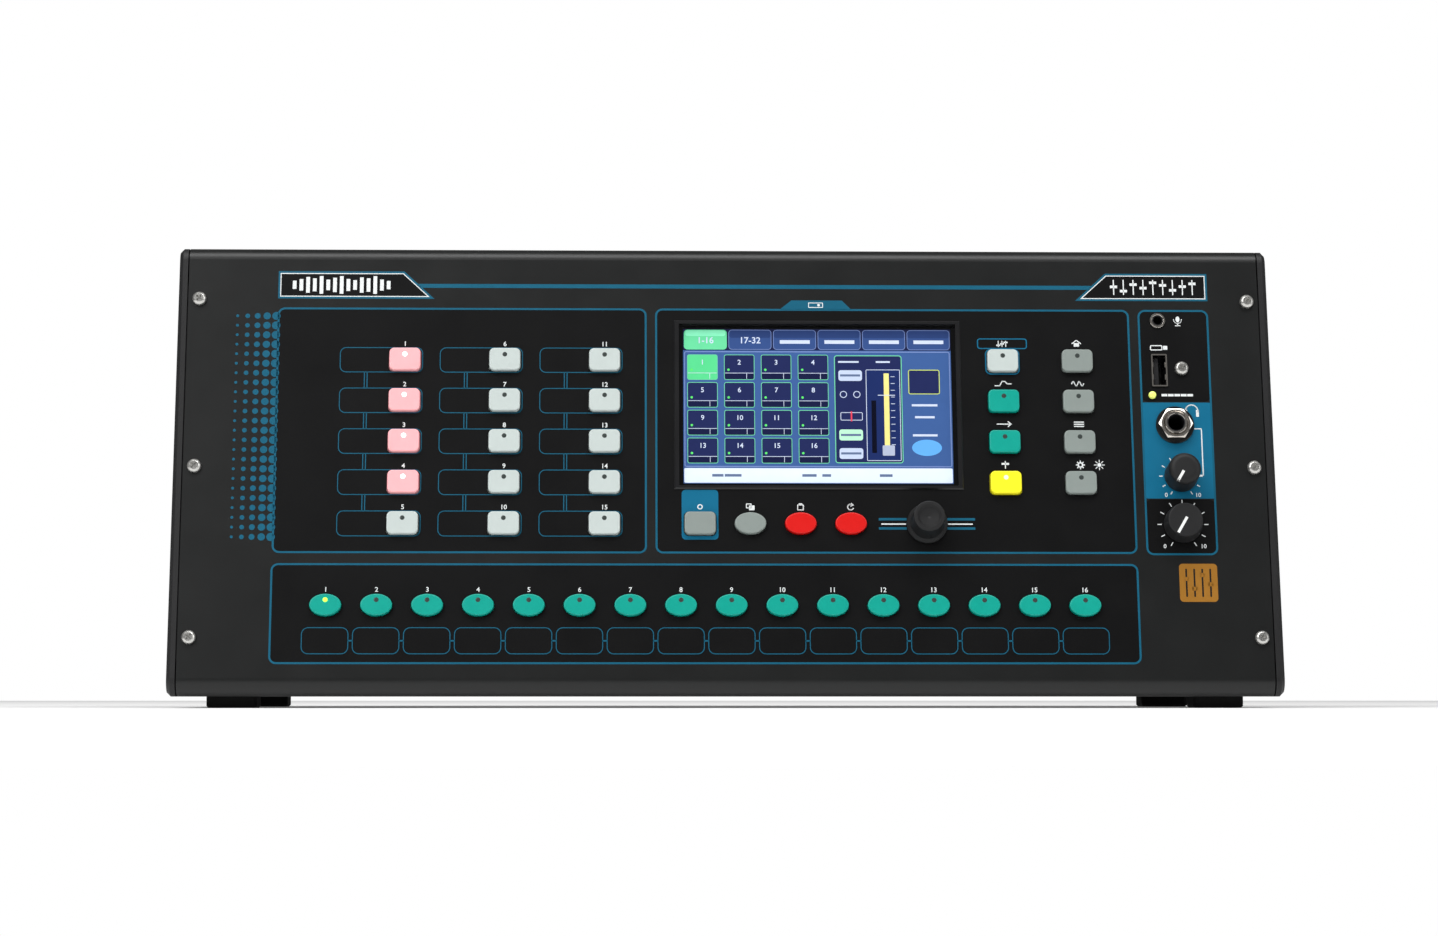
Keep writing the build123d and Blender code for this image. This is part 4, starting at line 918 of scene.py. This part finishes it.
# ---------------------------------------------------------------------------
# Sockets of the front strip
# Plated bushes for the headphone jack and the small jack, a folded steel shell
# with a tongue for a memory stick, and the clear lens of the power light.
# ---------------------------------------------------------------------------
socket_black = finish("socket_black", paint(28, 28, 30), 0.4, patchy=0.08, patch=6.0, grain=0.03,
                      grain_size=0.3)
brass = finish("brass_contact", paint(212, 178, 104), 0.25, metallic=1.0, patchy=0.08, patch=1.0)
coat("sockets", socket_black)

work = bmesh.new()
bush_top = 4.0
bush_outline = [(3.3, -1.5), (4.55, -1.5), (4.55, bush_top - 0.25), (4.3, bush_top), (3.75, bush_top),
                (3.3, bush_top - 0.45)]
add_turned(work, bush_outline, on_panel(*phones_jack_place), sides=48, closed=True)
make_piece("jack_bush", work, nickel, smooth=True)
work = bmesh.new()
small_outline = [(1.85, -1.0), (3.15, -1.0), (3.15, 0.45), (2.95, 0.68), (2.4, 0.68), (1.85, 0.3)]
add_turned(work, small_outline, on_panel(*small_jack_place), sides=36, closed=True)
make_piece("small_jack_bush", work, nickel, smooth=True)

work = bmesh.new()
at = on_panel(*memory_place)
shell = [pad(0, 0, 3.2, 6.85, 0.5), pad(0, 0, 2.62, 6.27, 0.15)]
add_slab(work, shell, at, -1.5, 0.56)
for side in (-1, 1):
    for rise in (-2.6, 2.6):
        add_slab(work, [pad(side * 2.45, rise, 0.18, 1.1, 0.15)], at, -4.0, -0.4)
make_piece("memory_shell", work, nickel)
work = bmesh.new()
tongue_x = -5.3 / 5
for i in range(4):
    contact = [rounded(tongue_x + 0.86, -4.2 + i * 2.6, tongue_x + 0.96, -3.2 + i * 2.6, 0.04)]
    add_slab(work, contact, at, -10.5, -4.6)
make_piece("memory_contacts", work, brass)

power_lens = finish("power_lens", paint(214, 226, 110), 0.12, patchy=0.1, patch=1.0, glow=0.5)
work = bmesh.new()
add_turned(work, [(0, -1.0), (1.53, -1.0), (1.53, 0.5), (1.3, 1.1), (0.75, 1.45), (0, 1.6)],
           on_panel(*light_place), sides=28)
make_piece("power_light", work, power_lens, smooth=True)


# ---------------------------------------------------------------------------
# Case
# The cover and the tray are folded steel in the panel's charcoal, the side
# plates are castings with a coarser coat, and the feet are moulded rubber.
# ---------------------------------------------------------------------------
case_coat = finish("case_powder_coat", paint(34, 34, 35), 0.45, patchy=0.08, grain=0.06, shine=0.35)
casting_coat = finish("casting_coat", paint(30, 30, 31), 0.5, patchy=0.1, grain=0.12, grain_size=0.7,
                      shine=0.4)
foot_rubber = finish("foot_rubber", paint(26, 26, 26), 0.75, patchy=0.15, patch=6.0, grain=0.08,
                     grain_size=0.4, shine=0.2)
for node in ("top_cover", "chassis_tray"):
    coat(node, case_coat)
for node in ("left_side_plate", "right_side_plate"):
    coat(node, casting_coat)
coat("rubber_feet", foot_rubber)


# ---------------------------------------------------------------------------
# Rear sockets
# Sixteen three-hole microphone inputs and twelve three-pin outputs in moulded
# flanges, line jacks with nuts, two network sockets and a computer socket.
# ---------------------------------------------------------------------------
rear_left = -panel_half - 0.5
first_xlr = rear_left + 21.5
xlr_pitch, xlr_row_pitch = 30.0, 34.0
top_row = console_top - 32.0
xlr_places = [[(first_xlr + i * xlr_pitch, top_row - row * xlr_row_pitch) for i in range(8)]
              for row in range(4)]
mic_places = xlr_places[0] + xlr_places[1]
output_places = xlr_places[2][:6] + xlr_places[3][:6]
flange_out = 2.0
contact_places = [(0, -4.7), (-4.7, 1.6), (4.7, 1.6)]

rims = bmesh.new()
latches = bmesh.new()
pins = bmesh.new()
flange_screws = bmesh.new()
for x, z in mic_places + output_places:
    add_turned(rims, [(9.45, 1.0), (10.6, 1.0), (10.6, 2.25), (10.4, 2.45), (9.7, 2.45), (9.45, 2.2)],
               behind(x, z), sides=56, closed=True)
    for side in (-1, 1):
        at = behind(x + side * 9.9, z + side * 12.3, flange_out)
        add_screw_head(flange_screws, [(1.6, 0), (1.6, 0.3), (1.4, 0.55), (1.05, 0.7)], at, 0.85, 0.2, 0.45)
for x, z in mic_places:
    at = behind(x, z, flange_out)
    add_slab(latches, [pad(0, 12.55, 3.4, 1.65, 0.9)], at, -0.2, 0.9)
    for rise in (11.7, 12.5, 13.3):
        add_slab(latches, [pad(0, rise, 2.4, 0.2, 0.15)], at, 0.8, 1.15)
    for px, pz in contact_places:
        add_turned(pins, [(0.85, -5.0), (1.32, -5.0), (1.32, -0.6), (1.15, -0.4), (0.95, -0.4), (0.85, -0.6)],
                   behind(x + px, z + pz, flange_out), sides=20, closed=True)
for x, z in output_places:
    for px, pz in contact_places:
        add_turned(pins, [(0, -10.1), (1.26, -10.1), (1.26, -0.9), (1.0, -0.25), (0.6, 0.05), (0, 0.12)],
                   behind(x + px, z + pz), sides=20)
make_piece("xlr_rims", rims, nickel, smooth=True)
latch_metal = finish("latch_metal", paint(150, 150, 150), 0.3, metallic=1.0, patchy=0.1, patch=2.0)
make_piece("xlr_latches", latches, latch_metal)
make_piece("xlr_contacts", pins, brass, smooth=True)
make_piece("xlr_screws", flange_screws, dark_washer, smooth=True)

line_first = first_xlr + 7 * xlr_pitch + 44.0
line_pitch = 20.0
line_places = [(line_first + i * line_pitch, top_row - row * xlr_row_pitch)
               for row in range(2) for i in range(3)]
work = bmesh.new()
for x, z in line_places:
    add_hex_nut(work, behind(x, z) @ turn_flat, 12.1, 2.68, 4.5)
    add_turned(work, [(3.3, 0), (4.56, 0), (4.56, 3.3), (4.35, 3.49), (3.7, 3.49), (3.3, 3.2)],
               behind(x, z), sides=40, closed=True)
make_piece("line_jack_nuts", work, nickel, smooth=True)

network_first = line_first + 2 * line_pitch + 30.0
network_places = [(network_first + i * 24.0, top_row) for i in range(2)]
computer_place = (network_first, top_row - xlr_row_pitch)
shells = bmesh.new()
contacts = bmesh.new()
for x, z in network_places:
    at = behind(x, z)
    add_slab(shells, [pad(0, 0, 8.1, 7.1, 0.5), pad(0, 0, 5.8, 4.1, 0.15)], at, -1.0, 0.86)
    for i in range(8):
        finger = [rounded(-3.75 + i * 1.02, -3.9, -3.4 + i * 1.02, -3.5, 0.08)]
        add_slab(contacts, finger, at, -10.0, -1.0)
computer_shell = [pad(0, 0, 6.3, 5.8, 0.5), pad(0, 0, 4.35, 3.9, 0.4)]
add_slab(shells, computer_shell, behind(*computer_place), -1.0, 0.86)
make_piece("data_shells", shells, nickel)
make_piece("network_contacts", contacts, brass)

link_green = finish("link_green", paint(60, 170, 70), 0.2, patchy=0.1, patch=1.0, glow=0.2)
work = bmesh.new()
for x, z in network_places:
    for side in (-1, 1):
        add_slab(work, [pad(side * 6.9, 5.5, 0.7, 0.9, 0.2)], behind(x, z), 0, 1.0)
make_piece("link_lights", work, link_green)


# ---------------------------------------------------------------------------
# Mains inlet and rocker
# A moulded three-pin inlet and a black rocker in its own frame. The rocker
# carries the two usual marks for on and off.
# ---------------------------------------------------------------------------
inlet_place = (panel_half + 0.5 - 42.0, panel_low.z / mm + 34.0)
work = bmesh.new()
for x, z in ((-7.0, -2.0), (7.0, -2.0), (0, 2.0)):
    add_slab(work, [pad(x, z, 1.05, 2.05, 0.3)], behind(*inlet_place), -15.2, -2.95)
make_piece("inlet_pins", work, nickel)

rocker_gloss = finish("rocker_gloss", paint(20, 20, 21), 0.25, patchy=0.08, patch=4.0, grain=0.015, clear=0.2)
coat("power_rocker", rocker_gloss)
rocker_pivot = Vector(joints["power_rocker_tilt"]["pos_m"])
rocker_rest = math.radians(8)
rocker_face = 3.0 + 2.0 - 0.2
rocker_dip = 0.9
rocker_half = 7.0
rocker_turn = Matrix.Rotation(rocker_rest, 4, "X")
facing = Matrix((Vector((-1, 0, 0)), Vector((0, 0, 1)), Vector((0, 1, 0)))).transposed().to_4x4()
work = bmesh.new()
for rise, mark in ((4.0, [disc(0, 0, 1.5), disc(0, 0, 1.05)]), (-4.0, [pad(0, 0, 0.25, 1.5, 0.1)])):
    out = rocker_face - rocker_dip * (1 - abs(rise) / rocker_half)
    tilt = Matrix.Rotation(math.copysign(math.atan(rocker_dip / rocker_half), rise), 4, "X")
    place = Matrix.Translation(rocker_pivot) @ rocker_turn @ Matrix.Translation((0, out * mm, rise * mm))
    add_slab(work, mark, place @ tilt @ facing, -0.1, 0.06)
make_piece("rocker_marks", work, pointer_white, body="power_rocker")


# ---------------------------------------------------------------------------
# Rear print
# Fine white and teal print on the rear wall: a number over each microphone, output, line and network socket,
# and a line round the line jacks, the data sockets and the mains inlet.
# ---------------------------------------------------------------------------
rear_wall = behind(0, 0)
work = bmesh.new()
for places, rise, height in ((mic_places, 16.1, 1.6), (output_places, 16.1, 1.6),
                             (line_places, 9.0, 1.8), (network_places, 9.0, 1.8)):
    for i, (x, z) in enumerate(places, start=1):
        add_number(work, str(i), x, z + rise, height, rear_wall)
make_piece("rear_numbers", work, white_ink)
lines_low, lines_high = top_row - xlr_row_pitch - 13.0, top_row + 13.5
rear_groups = [
    (line_first - 11.0, lines_low, line_first + 51.0, lines_high),
    (network_first - 12.0, lines_low, network_first + 36.0, lines_high),
    (inlet_place[0] - 54.0, inlet_place[1] - 16.0, inlet_place[0] + 19.0, inlet_place[1] + 16.0),
]
rear_lines = [border(*group, 2.5, 0.6) for group in rear_groups]
print_on("rear_lines", rear_lines, teal_ink, teal_level, rear_wall)


# ---------------------------------------------------------------------------
# Boards inside the case
# Glass fibre boards with green solder mask, and the brown board of the power
# supply. They are hidden once the case is closed.
# ---------------------------------------------------------------------------
green_board = finish("green_solder_mask", paint(20, 92, 52), 0.35, patchy=0.25, patch=3.0, grain=0.03)
brown_board = finish("brown_board", paint(112, 92, 48), 0.5, patchy=0.2, patch=4.0, grain=0.03)
for node in ("control_board", "main_board"):
    coat(node, green_board)
coat("power_supply", brown_board)


# ---------------------------------------------------------------------------
# Studio
# A pale floor, soft light from the upper left and from above, and a long lens
# a little above the floor.
# ---------------------------------------------------------------------------
floor_half = 1.3
floor_mesh = bpy.data.meshes.new("floor")
floor_mesh.from_pydata([(-floor_half, -floor_half, 0), (floor_half, -floor_half, 0),
                        (floor_half, floor_half, 0), (-floor_half, floor_half, 0)], [], [(0, 1, 2, 3)])
pale_floor = finish("pale_floor", paint(249, 249, 249), 0.6, patchy=0.01, patch=300.0, shine=0.2, glow=0.12)
floor_mesh.materials.append(pale_floor)
floor = bpy.data.objects.new("floor", floor_mesh)
bpy.context.scene.collection.objects.link(floor)

sky = bpy.data.worlds.new("studio")
sky.use_nodes = True
sky_nodes, sky_links = sky.node_tree.nodes, sky.node_tree.links
soft_fill = sky_nodes["Background"]
soft_fill.inputs["Color"].default_value = (1, 1, 1, 1)
soft_fill.inputs["Strength"].default_value = 0.16
backdrop = sky_nodes.new("ShaderNodeBackground")
backdrop.inputs["Color"].default_value = (1, 1, 1, 1)
backdrop.inputs["Strength"].default_value = 1.0
seen = sky_nodes.new("ShaderNodeLightPath")
choose = sky_nodes.new("ShaderNodeMixShader")
sky_links.new(seen.outputs["Is Camera Ray"], choose.inputs[0])
sky_links.new(soft_fill.outputs[0], choose.inputs[1])
sky_links.new(backdrop.outputs[0], choose.inputs[2])
sky_links.new(choose.outputs[0], sky_nodes["World Output"].inputs["Surface"])
bpy.context.scene.world = sky


console_middle = Vector((0, 0, 0.09))


def soft_light(name, place, power, width, height):
    """A soft box pointed at the middle of the console."""
    data = bpy.data.lights.new(name, "AREA")
    data.shape = "RECTANGLE"
    data.size = width
    data.size_y = height
    data.energy = power
    lamp = bpy.data.objects.new(name, data)
    lamp.location = place
    lamp.rotation_euler = (console_middle - Vector(place)).to_track_quat("-Z", "Y").to_euler()
    bpy.context.scene.collection.objects.link(lamp)


soft_light("key_box", (-1.9, -1.9, 1.9), 42.0, 1.8, 1.8)
soft_light("top_box", (0.0, -0.8, 2.2), 42.0, 2.6, 1.0)
soft_light("right_box", (2.4, -1.2, 1.2), 13.0, 1.2, 1.6)

lens_data = bpy.data.cameras.new("camera")
lens_data.lens = 96.68
lens_data.sensor_width = 36.0
lens_data.clip_start = 0.05
camera = bpy.data.objects.new("camera", lens_data)
camera.location = (-0.0486, -1.6147, 0.006)
camera.rotation_euler = (math.radians(93.331), 0, math.radians(-1.702))
bpy.context.scene.collection.objects.link(camera)
bpy.context.scene.camera = camera
bpy.context.scene.view_settings.view_transform = "Standard"
